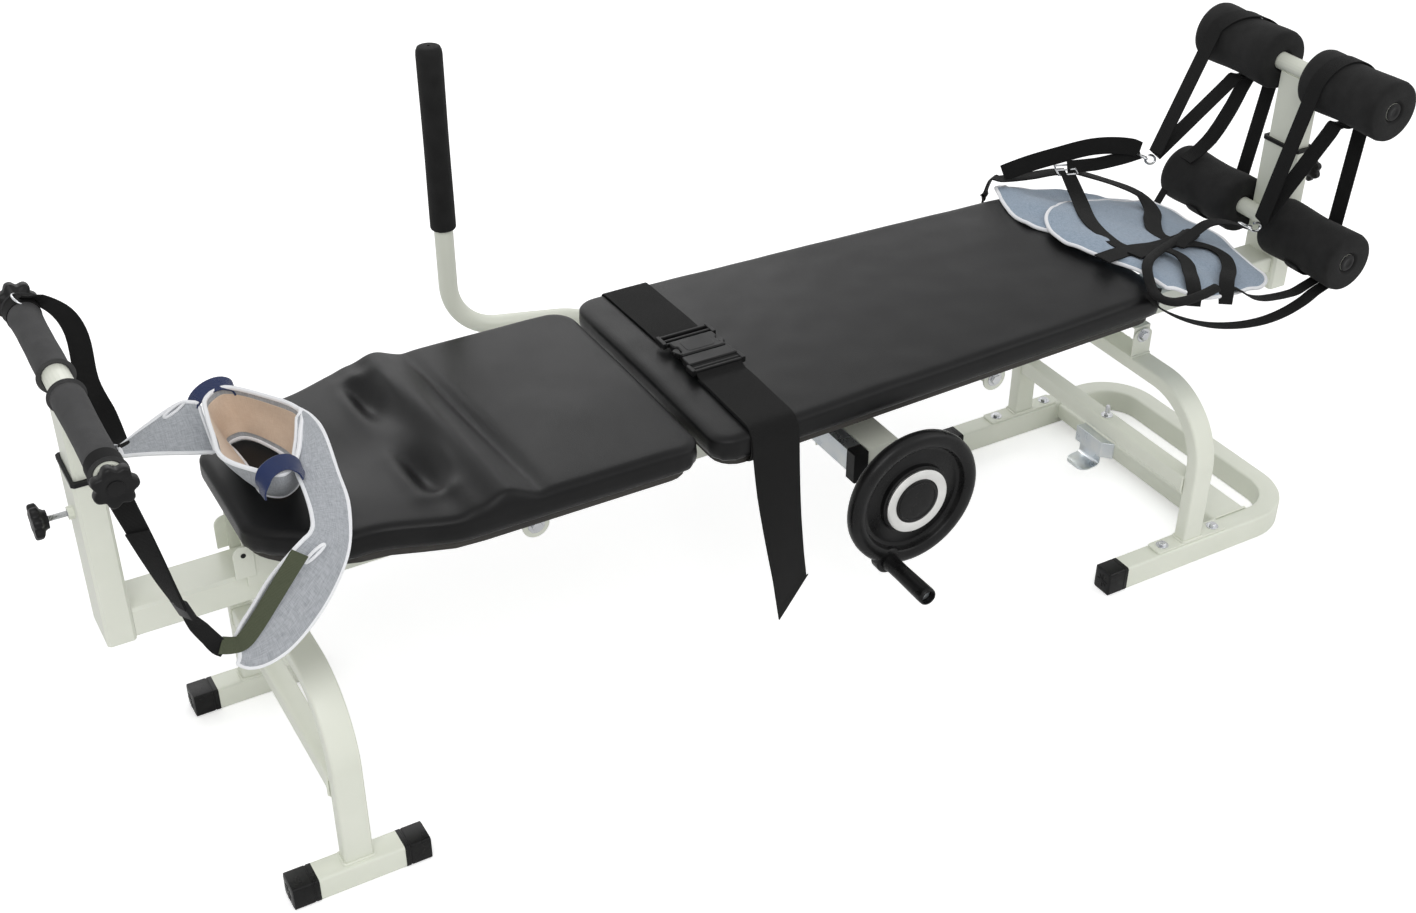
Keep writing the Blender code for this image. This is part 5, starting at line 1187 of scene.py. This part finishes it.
def build_buckle():
    """Side-release buckle: housing with windows, sprung arms, and a slotted bar at each end"""
    low, high = 0.541, 0.5528
    height = (low + high) / 2 - 0.0008
    housing = [
        (-0.034, 0.03), (-0.036, 0.024), (-0.036, 0.015), (-0.031, 0.011), (-0.031, -0.002),
        (-0.036, -0.006), (-0.036, -0.012),
    ]
    housing += [(-u, v) for u, v in housing[::-1]]
    buckle_part("buckle_housing", housing, low, high, 0.0022, ["belt_buckle"])
    crown = [(u, v + 0.009) for u, v in rectangle(0.046, 0.03, 0.006)]
    buckle_part("buckle_crown", crown, high - 0.001, high + 0.0004, 0.0006)
    base = [(-0.04, -0.038), (-0.038, -0.014), (0.038, -0.014), (0.04, -0.038)]
    buckle_part("buckle_tongue_base", base, low, high - 0.001, 0.0018)
    arm = [
        (0.03, -0.016), (0.0325, -0.002), (0.0395, 0.001), (0.0415, 0.006), (0.039, 0.011),
        (0.033, 0.0125), (0.03, 0.011),
    ]
    hands = (("left", -1), ("right", 1))
    for hand, sign in hands:
        outline = [(sign * u, v) for u, v in arm]
        buckle_part(f"buckle_arm_{hand}", outline, low + 0.0018, high - 0.0022, 0.001)
        for k in range(3):
            place = (belt_x + sign * 0.04, buckle_y + 0.0025 + 0.003 * k, 0)
            rib = prism(rectangle(0.0036, 0.0012, 0.0003), low + 0.003, high - 0.0032, "Z", place)
            put(f"buckle_rib_{hand}_{k}", rib, plastic, "frame")
    cheek, bar = rectangle(0.0065, 0.0092, 0.0015), rectangle(0.0045, 0.0068, 0.0015)
    ends = (
        ("far", 0.03, 0.055, (0.0525, 0.0405, 0.0315)),
        ("near", -0.055, -0.036, (-0.0525, -0.0455)),
    )
    for end, first, last, places in ends:
        for hand, sign in hands:
            along = ("Y", (belt_x + sign * 0.0405, 0, height))
            name = f"buckle_cheek_{end}_{hand}"
            buckle_part(name, cheek, buckle_y + first, buckle_y + last, 0.0008, lengthways=along)
        for k, place in enumerate(places):
            along = ("X", (0, buckle_y + place, height))
            name = f"buckle_bar_{end}_{k}"
            buckle_part(name, bar, belt_x - 0.04, belt_x + 0.04, 0.0008, lengthways=along)


build_belt()
build_buckle()

# ---------------------------------------------------------------- neck sling


def clear_of_head_pad(point):
    """Lift a point that would sink into the head pad"""
    if head_nose < point.x < head_foot and abs(point.y) < head_half(point.x) - 0.002:
        return Vector((point.x, point.y, max(point.z, head_skin(point.x, point.y) + cloth_lift)))
    return point


def resampled(points, count):
    """Evenly spaced places along a smooth route"""
    route = smooth_route(points, 12)
    along = distances(route)
    places, i = [], 0
    for k in range(count + 1):
        wanted = along[-1] * k / count
        while i < len(along) - 2 and along[i + 1] < wanted:
            i += 1
        span = max(along[i + 1] - along[i], 1e-9)
        places.append(route[i].lerp(route[i + 1], (wanted - along[i]) / span))
    return places


def cloth_between(first, last, columns, rows, shape):
    """Grid between two edges; shape moves each place by its shares along and across"""
    grid = []
    for i, (near, far) in enumerate(zip(resampled(first, columns), resampled(last, columns))):
        steps = [j / rows for j in range(rows + 1)]
        grid.append([shape(near.lerp(far, share), i / columns, share) for share in steps])
    return grid


def ripple(place, scale, depth, seed):
    return depth * noise.noise(Vector((place.x * scale, place.y * scale, place.z * scale + seed)))


sling_top = [
    (-1.748, 0.092, 0.612), (-1.722, 0.106, 0.614), (-1.684, 0.07, 0.612), (-1.65, 0.006, 0.612),
    (-1.664, -0.036, 0.607), (-1.688, -0.084, 0.6), (-1.712, -0.104, 0.598), (-1.738, -0.096, 0.606),
    (-1.77, -0.05, 0.61), (-1.764, 0.012, 0.608), (-1.757, 0.06, 0.611),
]
sling_low = [
    (-1.728, 0.09), (-1.706, 0.094), (-1.688, 0.07), (-1.668, 0.014), (-1.672, -0.026), (-1.684, -0.05),
    (-1.706, -0.062), (-1.726, -0.044), (-1.727, -0.018), (-1.725, 0.022), (-1.727, 0.062),
]


def build_sling_band():
    """Padded ring of heather cloth with a lining, piped along both rims"""
    top = smooth_route(sling_top, 5, closed=True)
    foot = [Vector((x, y, head_skin(x, y) + cloth_lift)) for x, y in sling_low]
    foot = smooth_route(foot, 5, closed=True)
    middle = sum(top, Vector()) / len(top)
    rows = 8
    outer_rings, lining_rings = [], []
    for high, low in zip(top, foot):
        out = Vector((high.x - middle.x, high.y - middle.y, 0)).normalized()
        outer, inner, lining = [], [], []
        for j in range(rows + 1):
            share = j / rows
            place = low.lerp(high, share)
            place += out * (0.005 * sin(pi * share) + ripple(place, 32, 0.0035 * sin(pi * share), 0.7))
            outer.append(place + out * 0.002)
            inner.append(place - out * 0.0016)
            lining.append(place - out * 0.0021)
        outer_rings.append(outer + inner[::-1])
        lining_rings.append(lining[1:-1] + [p - out * 0.001 for p in lining[-2:0:-1]])
    ring, replaced = skin(outer_rings, closed=True), ["neck_sling"]
    band = put("sling_band", ring, grey_cloth, "frame", smooth=60, replaced=replaced)
    trim = [put("sling_lining", skin(lining_rings, closed=True), tan_lining, "frame", smooth=60)]
    trim.append(piping("sling_piping_top", top, 0.0032))
    trim.append(piping("sling_piping_foot", [low + Vector((0, 0, 0.0004)) for low in foot], 0.003))
    around, below = (distances(rim + rim[:1])[-1] for rim in (top, foot))


def build_sling_panels():
    """The long panel that hangs over the near side, the short far one and their stitched slots"""
    outer = [
        (-1.651, 0.01, 0.613), (-1.642, -0.01, 0.611), (-1.639, -0.05, 0.609), (-1.644, -0.11, 0.58),
        (-1.65, -0.158, 0.562), (-1.668, -0.192, 0.52), (-1.7, -0.208, 0.478), (-1.735, -0.218, 0.4455),
        (-1.769, -0.222, 0.4215), (-1.8, -0.222, 0.412), (-1.82, -0.222, 0.4155), (-1.832, -0.222, 0.427),
    ]
    inner = [
        (-1.658, -0.006, 0.609), (-1.672, -0.04, 0.602), (-1.69, -0.08, 0.592), (-1.692, -0.118, 0.576),
        (-1.698, -0.158, 0.566), (-1.708, -0.186, 0.5625), (-1.73, -0.206, 0.564), (-1.758, -0.216, 0.55),
        (-1.7786, -0.219, 0.533), (-1.801, -0.221, 0.506), (-1.822, -0.222, 0.481),
        (-1.832, -0.222, 0.46),
    ]

    def near_shape(place, along, across):
        belly = sin(pi * across)
        place = place + Vector((0.004 * belly, -0.002 * belly, 0.002 * belly))
        place.y += ripple(place, 24, 0.0025 * belly, 3.1)
        place.z += ripple(place, 20, 0.003 * belly, 5.2)
        return clear_of_head_pad(place)

    grid = cloth_between(outer, inner, 26, 8, near_shape)
    piped_panel("sling_near_panel", grid, grey_cloth, ["neck_sling"])
    upper = [
        (-1.758, 0.096, 0.606), (-1.774, 0.1, 0.611), (-1.792, 0.102, 0.606), (-1.828, 0.104, 0.588),
        (-1.866, 0.106, 0.566),
    ]
    lower = [
        (-1.757, 0.05, 0.556), (-1.784, 0.052, 0.562), (-1.808, 0.058, 0.566), (-1.834, 0.064, 0.57),
        (-1.868, 0.074, 0.572),
    ]

    def far_shape(place, along, across):
        belly = sin(pi * across)
        place = place + Vector((0, 0.004 * belly, 0.002 * belly))
        place.z += ripple(place, 26, 0.003 * belly, 1.9)
        return clear_of_head_pad(place)

    grid = cloth_between(upper, lower, 14, 6, far_shape)
    piped_panel("sling_far_panel", grid, grey_cloth, ["neck_sling"])
    slot_outline = [(0.016 * cos(pi * k / 8), 0.0035 * sin(pi * k / 8)) for k in range(16)]
    slots = (("near", (-1.716, -0.214, 0.548), 0.6), ("far", (-1.79, 0.095, 0.607), 0.5))
    for name, centre, tilt in slots:
        route = [Vector(centre) + Vector((u, 0, v)) for u, v in spin_outline(slot_outline, tilt)]
        piping(f"sling_slot_{name}", route, 0.0022)


def bar_web(name, points, across, width, replaced):
    """Webbing from the resting sling to the sliding head bar"""
    piece = strap(name, points, across, width, black_web, None, 5, 0.002, replaced=replaced)
    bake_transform(piece)


def build_sling_straps():
    """Hook-and-loop closures over the rims, olive tie webbing and the black straps to the head bar"""
    far = [
        (-1.771, 0.099, 0.578), (-1.768, 0.1, 0.596), (-1.757, 0.104, 0.61), (-1.74, 0.109, 0.617),
        (-1.722, 0.111, 0.618), (-1.71, 0.108, 0.613), (-1.705, 0.105, 0.602),
    ]
    strap("sling_loop_far", far, (0, 0.9, 0.45), 0.022, navy_loop, "frame", 4, 0.0026)
    near = [
        (-1.744, -0.118, 0.584), (-1.743, -0.117, 0.598), (-1.735, -0.11, 0.61), (-1.718, -0.103, 0.614),
        (-1.702, -0.1, 0.611), (-1.692, -0.102, 0.602), (-1.687, -0.106, 0.588),
    ]
    strap("sling_loop_near", near, (0, 0.75, 0.66), 0.022, navy_loop, "frame", 4, 0.0026)
    olive = [
        (-1.7372, -0.2265, 0.5648), (-1.7517, -0.229, 0.5491), (-1.7725, -0.23, 0.5235),
        (-1.7937, -0.23, 0.4963), (-1.8117, -0.2295, 0.4739), (-1.8247, -0.2285, 0.4618),
        (-1.8372, -0.2265, 0.4615), (-1.849, -0.225, 0.4655),
    ]
    slant = [(0.785, 0, -0.62)] * 5 + [(0.4, 0, -0.9), (0, 0, -1), (-0.25, 0, -0.97)]
    strap("sling_olive_web", olive, slant, 0.026, olive_web, "frame", 4, 0.0018)
    lower = [
        (-1.844, -0.224, 0.457), (-1.85, -0.223, 0.462), (-1.8582, -0.2225, 0.477),
        (-1.8697, -0.2225, 0.5002), (-1.879, -0.2222, 0.523),
    ]
    slant = [
        (-0.25, 0, -0.97), (-0.5, 0.1, -0.8), (-0.8, 0.35, -0.42), (-0.8, 0.45, -0.36),
        (-0.5, 0.8, -0.15),
    ]
    replaced = ["neck_strap_near"]
    strap("neck_web_near_low", lower, slant, 0.025, black_web, "frame", 4, 0.002, replaced=replaced)
    upper = [
        (-1.8862, -0.2215, 0.5399), (-1.8962, -0.218, 0.5757), (-1.9054, -0.214, 0.6131),
        (-1.9149, -0.209, 0.652), (-1.9244, -0.205, 0.6908), (-1.929, -0.203, 0.714),
    ]
    broad = [
        (0.3, -0.9, 0), (0.5, -0.8, 0), (0.68, -0.68, 0), (0.82, -0.52, 0), (0.92, -0.36, 0),
        (0.94, -0.33, 0),
    ]
    bar_web("neck_web_near", upper, broad, 0.03, replaced)
    double = [Vector(place) + Vector((-0.0016, -0.0034, -0.0008)) for place in upper[:4]]
    bar_web("neck_web_near_double", double, broad[:4], 0.03, ())
    replaced = ["neck_strap_far"]
    lower = [(-1.852, 0.09, 0.5735), (-1.86, 0.09, 0.572), (-1.868, 0.09, 0.5705)]
    strap("neck_web_far_low", lower, (0, 1, 0.2), 0.022, black_web, "frame", 4, 0.002, replaced=replaced)
    upper = [
        (-1.868, 0.092, 0.57), (-1.8615, 0.15, 0.545), (-1.862, 0.195, 0.571), (-1.873, 0.2, 0.622),
        (-1.874, 0.2, 0.69), (-1.886, 0.2, 0.727), (-1.912, 0.2, 0.7535), (-1.9335, 0.202, 0.761),
    ]
    bar_web("neck_web_far", upper, (0.87, -0.5, 0), 0.032, replaced)
    for side, sign in sides:
        low, high = sorted((sign * 0.1905, sign * 0.2125))
        wall = [(0.0224, low), (0.0224, high), (0.0212, high), (0.0212, low)]
        loop = turned(wall, "Y", bar_centre, closed=True)
        put(f"bar_strap_loop_{side}", loop, black_web, "head_bar")
    low, high = Vector((-1.8795, -0.2225, 0.5215)), Vector((-1.8872, -0.2213, 0.5455))
    route, section = [low, low.lerp(high, 0.5), high], rectangle(0.0275, 0.008, 0.0025, 3)
    put("neck_slider", skin(swept_rings(route, Vector((0.42, -0.85, 0)), section)), plastic, "frame")
    rings = (("low", (-1.868, 0.09, 0.5705), "frame"), ("bar", (-1.9335, 0.202, 0.758), "head_bar"))
    for name, place, body in rings:
        turns = [2 * pi * k / 20 for k in range(20)]
        route = [Vector((0.008 * sin(turn), 0.014 * cos(turn), -0.006 * sin(turn))) for turn in turns]
        route = [Vector(place) + step for step in route]
        tube(f"neck_ring_{name}", route, 0.0016, chrome, body, 10, closed=True)


build_sling_band()
build_sling_panels()
build_sling_straps()

# ---------------------------------------------------------------- pelvic harness


def harness_floor(x, y):
    """Height at which the harness lies: on the pad, then falling away past its foot end"""
    edge = -0.3465
    if x <= edge:
        return main_skin(x, y) + cloth_lift
    fall = 0.3 * (x - edge)
    return main_skin(edge, y) + cloth_lift - fall * ease(0.6, 1.0, (x - edge) / 0.05)


def quilt(along, across, columns):
    """Padding that swells between sewn channels and pinches at the rim"""
    rim = min(along, 1 - along, across, 1 - across)
    swell = min(rim / 0.1, 1.0)
    return swell * (0.55 + 0.45 * abs(sin(pi * columns * across)))


def harness_panel(name, head_edge, foot_edge, lift, seed):
    def shape(place, along, across):
        z = harness_floor(place.x, place.y) + lift
        z += 0.005 * quilt(across, along, 3)
        z += ripple(place, 17, 0.0045, seed) + ripple(place, 45, 0.0016, seed + 3)
        hang = min(max((place.x + 0.36) / 0.2, 0.0), 1.0)
        sag = 0.02 if place.y < 0 else 0.003
        z -= sag * hang * (abs(place.y) / 0.22) ** 2.5
        if place.x < main_foot + 0.006:
            z = max(z, main_skin(min(place.x, main_foot - 0.001), place.y) + 0.003)
        return Vector((place.x, place.y, z))

    head_edge, foot_edge = ([(x, y, 0.0) for x, y in edge] for edge in (head_edge, foot_edge))
    grid = cloth_between(head_edge, foot_edge, 34, 22, shape)
    piped_panel(name, grid, blue_cloth, ["pelvic_harness"], 0.0032)


def build_harness():
    """The two blue pelvic panels, the near one over the far one"""
    head = [
        (-0.352, 0.222), (-0.379, 0.166), (-0.395, 0.12), (-0.398, 0.079), (-0.384, 0.046),
        (-0.366, 0.02),
    ]
    foot = [(-0.2, 0.232), (-0.105, 0.222), (-0.046, 0.19), (-0.036, 0.12), (-0.046, 0.05), (-0.08, 0.0)]
    harness_panel("harness_far_panel", head, foot, 0.0, 2.0)
    head = [
        (-0.252, 0.15), (-0.3, 0.122), (-0.336, 0.096), (-0.37, 0.066), (-0.39, 0.026), (-0.394, -0.011),
        (-0.386, -0.042), (-0.374, -0.077), (-0.36, -0.108), (-0.352, -0.14), (-0.348, -0.164),
        (-0.342, -0.196),
    ]
    foot = [
        (-0.034, 0.19), (-0.018, 0.14), (-0.021, 0.084), (-0.02, 0.017), (-0.036, -0.04),
        (-0.052, -0.084), (-0.056, -0.128), (-0.086, -0.156), (-0.14, -0.174), (-0.19, -0.187),
        (-0.245, -0.202), (-0.29, -0.213),
    ]
    harness_panel("harness_near_panel", head, foot, 0.0085, 7.0)


def on_harness(points, lift):
    """Lay a strap's route on the panels"""
    return [Vector((x, y, max(z, harness_floor(x, y) + 0.015) + lift)) for x, y, z in points]


near_hook = Vector((-0.0225, -0.06, 0.502))
far_hook = Vector((-0.0785, 0.15, 0.552))


def upward_side(points):
    """Width directions that lie flat on the harness along a route"""
    points = [Vector(p) for p in points]
    tangents = [after - before for before, after in zip(points[:1] + points, points[1:] + points[-1:])]
    return [Vector((0.24, 0, 1)).cross(tangent).normalized() for tangent in tangents]


def build_harness_straps():
    """Webbing sewn on the panels, the loops and tie at the near corner, and the slider on the rim"""
    width = 0.031
    head_side = [
        (-0.238, 0.175, 0.552), (-0.249, 0.13, 0.53), (-0.304, 0.034, 0.54), (-0.326, -0.05, 0.545),
        (-0.312, -0.082, 0.54),
    ]
    foot_side = [
        (-0.225, 0.18, 0.552), (-0.15, 0.165, 0.52), (-0.1, 0.14, 0.495), (-0.11, 0.095, 0.487),
        (-0.15, 0.05, 0.495), (-0.183, 0.0, 0.502), (-0.174, -0.036, 0.5),
    ]
    cross = [
        (-0.388, -0.094, 0.548), (-0.34, -0.086, 0.546), (-0.293, -0.074, 0.537), (-0.24, -0.058, 0.52),
        (-0.186, -0.038, 0.505), (-0.13, -0.012, 0.488), (-0.096, 0.01, 0.478),
    ]
    routes = (("a", head_side), ("b", foot_side), ("cross", cross))
    for name, points in routes:
        laid = on_harness(points, 0.0)
        strap(f"harness_strap_{name}", laid, upward_side(points), width, black_web, "frame")
    rim = [
        (-0.3424, 0.226, 0.549), (-0.3193, 0.218, 0.549), (-0.2877, 0.208, 0.55), (-0.2575, 0.196, 0.554),
        (-0.2363, 0.184, 0.5555),
    ]
    tail = [(-0.36, 0.232, 0.478), (-0.364, 0.24, 0.5), (-0.358, 0.24, 0.523), (-0.35, 0.236, 0.545)]
    laid = tail + on_harness(rim, -0.004)
    strap("harness_rim_web", laid, upward_side(laid), width, black_web, "frame")
    head_loop = [
        (-0.332, -0.106, 0.542), (-0.292, -0.09, 0.536), (-0.253, -0.084, 0.528), (-0.233, -0.103, 0.52),
        (-0.24, -0.13, 0.52), (-0.262, -0.16, 0.524), (-0.286, -0.192, 0.53), (-0.3, -0.214, 0.524),
        (-0.306, -0.222, 0.508),
    ]
    foot_loop = [
        (-0.186, -0.05, 0.5), (-0.15, -0.04, 0.488), (-0.114, -0.05, 0.48), (-0.11, -0.08, 0.478),
        (-0.128, -0.11, 0.482), (-0.157, -0.143, 0.49), (-0.196, -0.178, 0.5), (-0.214, -0.198, 0.496),
        (-0.22, -0.206, 0.48),
    ]
    for name, points in (("head", head_loop), ("foot", foot_loop)):
        laid = on_harness(points[:-2], 0.0035) + points[-2:]
        strap(f"harness_loop_{name}", laid, upward_side(points), 0.025, black_web, "frame")
    thick = [
        (-0.122, -0.011, 0.49), (-0.198, -0.052, 0.508), (-0.28, -0.101, 0.532), (-0.345, -0.15, 0.548),
    ]
    loose = [
        (-0.372, -0.196, 0.5435), (-0.376, -0.222, 0.54), (-0.352, -0.232, 0.533), (-0.3, -0.226, 0.527),
        (-0.25, -0.21, 0.52),
    ]
    path = smooth_route(on_harness(thick, 0.0065) + loose, 4)
    section = [(0.0048 * sin(2 * pi * k / 12), 0.0085 * cos(2 * pi * k / 12)) for k in range(12)]
    put("harness_tie", skin(swept_rings(path, axis_line["Z"], section)), black_web, "frame", smooth=60)
    centre = Vector((-0.235, 0.184, 0.5545))
    along = Vector((0.35, 1, 0.25)).normalized() * 0.013
    across = Vector((1, -0.35, 0)).normalized() * 0.017
    for k, share in enumerate((-1, 0, 1)):
        place = centre + along * share
        ends = [place - across, place, place + across]
        tube(f"harness_slider_bar_{k}", ends, 0.0016, chrome, "frame")
    for k, share in enumerate((-1, 1)):
        place = centre + across * share
        ends = [place - along, place, place + along]
        tube(f"harness_slider_side_{k}", ends, 0.0018, chrome, "frame")


def hook_strap(name, points, across, width):
    """Strap that runs from the resting harness to a hook on the sliding end"""
    piece = strap(name, points, across, width, black_web, None)
    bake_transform(piece)


def build_hook(name, centre, lean):
    """Bright snap hook: a bent wire with its gate, and the ring of the strap"""
    lean = lean.normalized()
    side = lean.cross(axis_line["Y"]).normalized()
    turns = [-0.7 + 5.2 * k / 21 for k in range(22)]
    wire = [centre + lean * (0.0125 * sin(turn)) + side * (0.0075 * cos(turn)) for turn in turns]
    stem = [centre - lean * reach for reach in (0.0115, 0.019, 0.0235)]
    turns = [2 * pi * k / 20 for k in range(20)]
    across = axis_line["Y"] * 0.0145
    ring = [centre - lean * 0.026 + across * cos(turn) + lean * 0.005 * sin(turn) for turn in turns]
    tube(f"{name}_wire", wire, 0.0021, chrome, "traction_carriage", 10)
    tube(f"{name}_stem", stem, 0.0028, chrome, "traction_carriage", 12)
    tube(f"{name}_ring", ring, 0.0019, chrome, "traction_carriage", 10, closed=True)


def build_hook_straps():
    """Straps from the harness to both hooks, and the two that sag to the lower roller"""
    points = [
        (-0.205, -0.072, 0.517), (-0.186, -0.066, 0.522), (-0.162, -0.062, 0.529), (-0.137, -0.06, 0.536),
        (-0.108, -0.06, 0.533), (-0.079, -0.06, 0.523), (-0.052, -0.06, 0.51),
    ]
    hook_strap("near_hook_strap", points, (0, 1, 0), 0.022)
    points = [
        (-0.34, 0.222, 0.556), (-0.3305, 0.22, 0.559), (-0.2923, 0.215, 0.566), (-0.2459, 0.205, 0.5735),
        (-0.1929, 0.185, 0.5856), (-0.1575, 0.17, 0.5878), (-0.1161, 0.16, 0.5798), (-0.1, 0.1555, 0.572),
    ]
    hook_strap("far_hook_strap", points, (0, 0.35, 1), 0.029)
    points = [
        (-0.2327, 0.184, 0.559), (-0.1927, 0.178, 0.556), (-0.1741, 0.172, 0.557), (-0.1295, 0.16, 0.563),
        (-0.1, 0.1545, 0.568),
    ]
    hook_strap("far_hook_strap_under", points, (0, 0.5, 1), 0.022)
    build_hook("near_hook", near_hook, Vector((0.95, 0, -0.3)))
    build_hook("far_hook", far_hook, Vector((0.85, 0, -0.45)))
    outer = [
        (-0.366, -0.196, 0.543), (-0.378, -0.206, 0.53), (-0.352, -0.205, 0.506), (-0.301, -0.203, 0.474),
        (-0.245, -0.202, 0.448), (-0.189, -0.2, 0.43), (-0.14, -0.198, 0.42), (-0.097, -0.194, 0.415),
        (-0.055, -0.188, 0.414), (-0.012, -0.18, 0.417), (0.02, -0.172, 0.4215), (0.0511, -0.168, 0.427),
        (0.08, -0.166, 0.4365), (0.099, -0.165, 0.457),
    ]
    hook_strap("sagging_strap_outer", outer, (0, 1, 0), 0.022)
    inner = [
        (-0.196, -0.186, 0.496), (-0.176, -0.19, 0.486), (-0.151, -0.19, 0.468), (-0.12, -0.186, 0.454),
        (-0.08, -0.178, 0.442), (-0.044, -0.17, 0.433), (-0.012, -0.16, 0.425), (0.02, -0.15, 0.4225),
        (0.0511, -0.146, 0.427), (0.08, -0.144, 0.4365), (0.099, -0.143, 0.457),
    ]
    hook_strap("sagging_strap_inner", inner, (0, 1, 0), 0.02)


def round_roller(centre, lift, start, end, y, drift, count):
    """Places round a roller from one turn to another, drifting along it"""
    turns = [start + (end - start) * k / count for k in range(count + 1)]
    places = [centre + Vector((lift * cos(turn), 0, lift * sin(turn))) for turn in turns]
    return [Vector((place.x, y + drift * k, place.z)) for k, place in enumerate(places)]


def foot_web(name, points, replaced=()):
    """Webbing between the hook on the carriage and the roller on the sliding mast"""
    piece = strap(name, points, axis_line["Y"], 0.03, black_web, None, 3, replaced=replaced)
    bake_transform(piece)


def build_foot_strap(side, hook, start, front, behind, low, back):
    """Webbing over the upper roller and down behind both, and the strand that comes back beneath it"""
    tight, under_tight, loose = 0.0501, 0.051, 0.055
    drift = (behind - front) / 18
    over = round_roller(upper_roller, tight, start, 0.0, front, drift, 18)
    drift = low - behind
    first_y = behind + 0.5 * drift
    under = round_roller(lower_roller, under_tight, 0.0, -radians(150), first_y, 0.025 * drift, 20)
    beneath = round_roller(upper_roller, loose, radians(246), radians(350), back, 0.0, 6)
    leaving = (0.12, 0.4, 0.7, 0.92)
    first = hook + Vector((0.01, 0, 0.01))
    points = [first] + [first.lerp(over[0], share) for share in leaving]
    points += over + [over[-1].lerp(under[0], share) for share in (0.2, 0.5, 0.8)] + under
    foot_web(f"foot_web_{side}", points, [f"foot_strap_{side}"])
    first = hook + Vector((0.01, 0, 0.006))
    points = [first] + [first.lerp(beneath[0], share) for share in leaving] + beneath
    foot_web(f"foot_web_{side}_return", points)


build_harness()
build_harness_straps()
build_hook_straps()
build_foot_strap("near", near_hook, radians(168), -0.08, -0.108, -0.122, -0.112)
build_foot_strap("far", far_hook, radians(148), 0.16, 0.095, 0.12, 0.118)
lean = [
    (0.09, 0.108, 0.687), (0.078, 0.11, 0.683), (0.066, 0.122, 0.63), (0.058, 0.148, 0.565),
    (0.04, 0.162, 0.5335), (0.02, 0.164, 0.523),
]
foot_web("foot_web_far_lean", lean)
tag = [(-0.007, 0.19, 0.434), (0.004, 0.19, 0.452), (0.02, 0.19, 0.478)]
strap("foot_web_end", tag, axis_line["Y"], 0.016, black_web, "traction_carriage")

# ---------------------------------------------------------------- studio


def build_camera():
    place = Vector((-2.2035, -2.0184, 1.9156))
    yaw, pitch, roll = radians(29.9517), radians(-34.0572), radians(0.3512)
    forward = Vector((sin(yaw) * cos(pitch), cos(yaw) * cos(pitch), sin(pitch)))
    right = Vector((cos(yaw), -sin(yaw), 0))
    up = right.cross(forward)
    across, upright = right * cos(roll) + up * sin(roll), up * cos(roll) - right * sin(roll)
    turn = Matrix((across, upright, -forward)).transposed()
    data = bpy.data.cameras.new("photo_camera")
    data.sensor_fit = "HORIZONTAL"
    data.sensor_width = 36.0
    data.lens = 47.197
    camera = bpy.data.objects.new("photo_camera", data)
    camera.matrix_world = Matrix.Translation(place) @ turn.to_4x4()
    bpy.context.collection.objects.link(camera)
    bpy.context.scene.camera = camera


def build_floor():
    bm = bmesh.new()
    bmesh.ops.create_grid(bm, x_segments=1, y_segments=1, size=14)
    bmesh.ops.translate(bm, verts=bm.verts[:], vec=(0, 0, -0.0005))
    mesh = bpy.data.meshes.new("studio_floor")
    bm.to_mesh(mesh)
    bm.free()
    mesh.materials.append(floor_white)
    ground = bpy.data.objects.new("studio_floor", mesh)
    bpy.context.collection.objects.link(ground)


def soft_light(name, place, target, size, energy):
    data = bpy.data.lights.new(name, "AREA")
    data.shape = "RECTANGLE"
    data.size, data.size_y = size
    data.energy = energy
    lamp = bpy.data.objects.new(name, data)
    lamp.location = place
    lamp.rotation_euler = (Vector(target) - Vector(place)).to_track_quat("-Z", "Y").to_euler()
    bpy.context.collection.objects.link(lamp)


def build_world():
    """White to the camera and to gloss, a softer pale grey as light"""
    world = bpy.data.worlds.new("studio")
    world.use_nodes = True
    bpy.context.scene.world = world
    tree = world.node_tree
    light, seen = tree.nodes["Background"], tree.nodes.new("ShaderNodeBackground")
    for background, strength in ((light, 0.55), (seen, 1.0)):
        background.inputs["Color"].default_value = (1.0, 1.0, 1.0, 1.0)
        background.inputs["Strength"].default_value = strength
    path = tree.nodes.new("ShaderNodeLightPath").outputs
    rays = maths(tree, "MAXIMUM", path["Is Camera Ray"], path["Is Glossy Ray"])
    rays = maths(tree, "MAXIMUM", rays, path["Is Transmission Ray"])
    mix = tree.nodes.new("ShaderNodeMixShader")
    tree.links.new(rays, mix.inputs["Fac"])
    tree.links.new(light.outputs[0], mix.inputs[1])
    tree.links.new(seen.outputs[0], mix.inputs[2])
    tree.links.new(mix.outputs[0], tree.nodes["World Output"].inputs["Surface"])


def build_floor_shade():
    """The floor turns white to the camera where the object throws no shadow"""
    tree = floor_white.node_tree
    shader = tree.nodes["Principled BSDF"]
    path = tree.nodes.new("ShaderNodeLightPath").outputs
    glow = maths(tree, "MULTIPLY", path["Is Camera Ray"], 0.42)
    shader.inputs["Emission Color"].default_value = (1.0, 1.0, 1.0, 1.0)
    tree.links.new(glow, shader.inputs["Emission Strength"])


build_camera()
build_floor()
build_floor_shade()
build_world()
middle = (-0.9, 0.0, 0.3)
soft_light("key", (-2.6, -2.4, 3.6), middle, (2.4, 2.4), 62)
soft_light("fill", (1.8, -2.2, 2.4), middle, (2.6, 2.6), 26)
soft_light("back", (-0.6, 3.2, 2.6), middle, (3.0, 1.6), 30)
bpy.context.scene.view_settings.view_transform = "Standard"
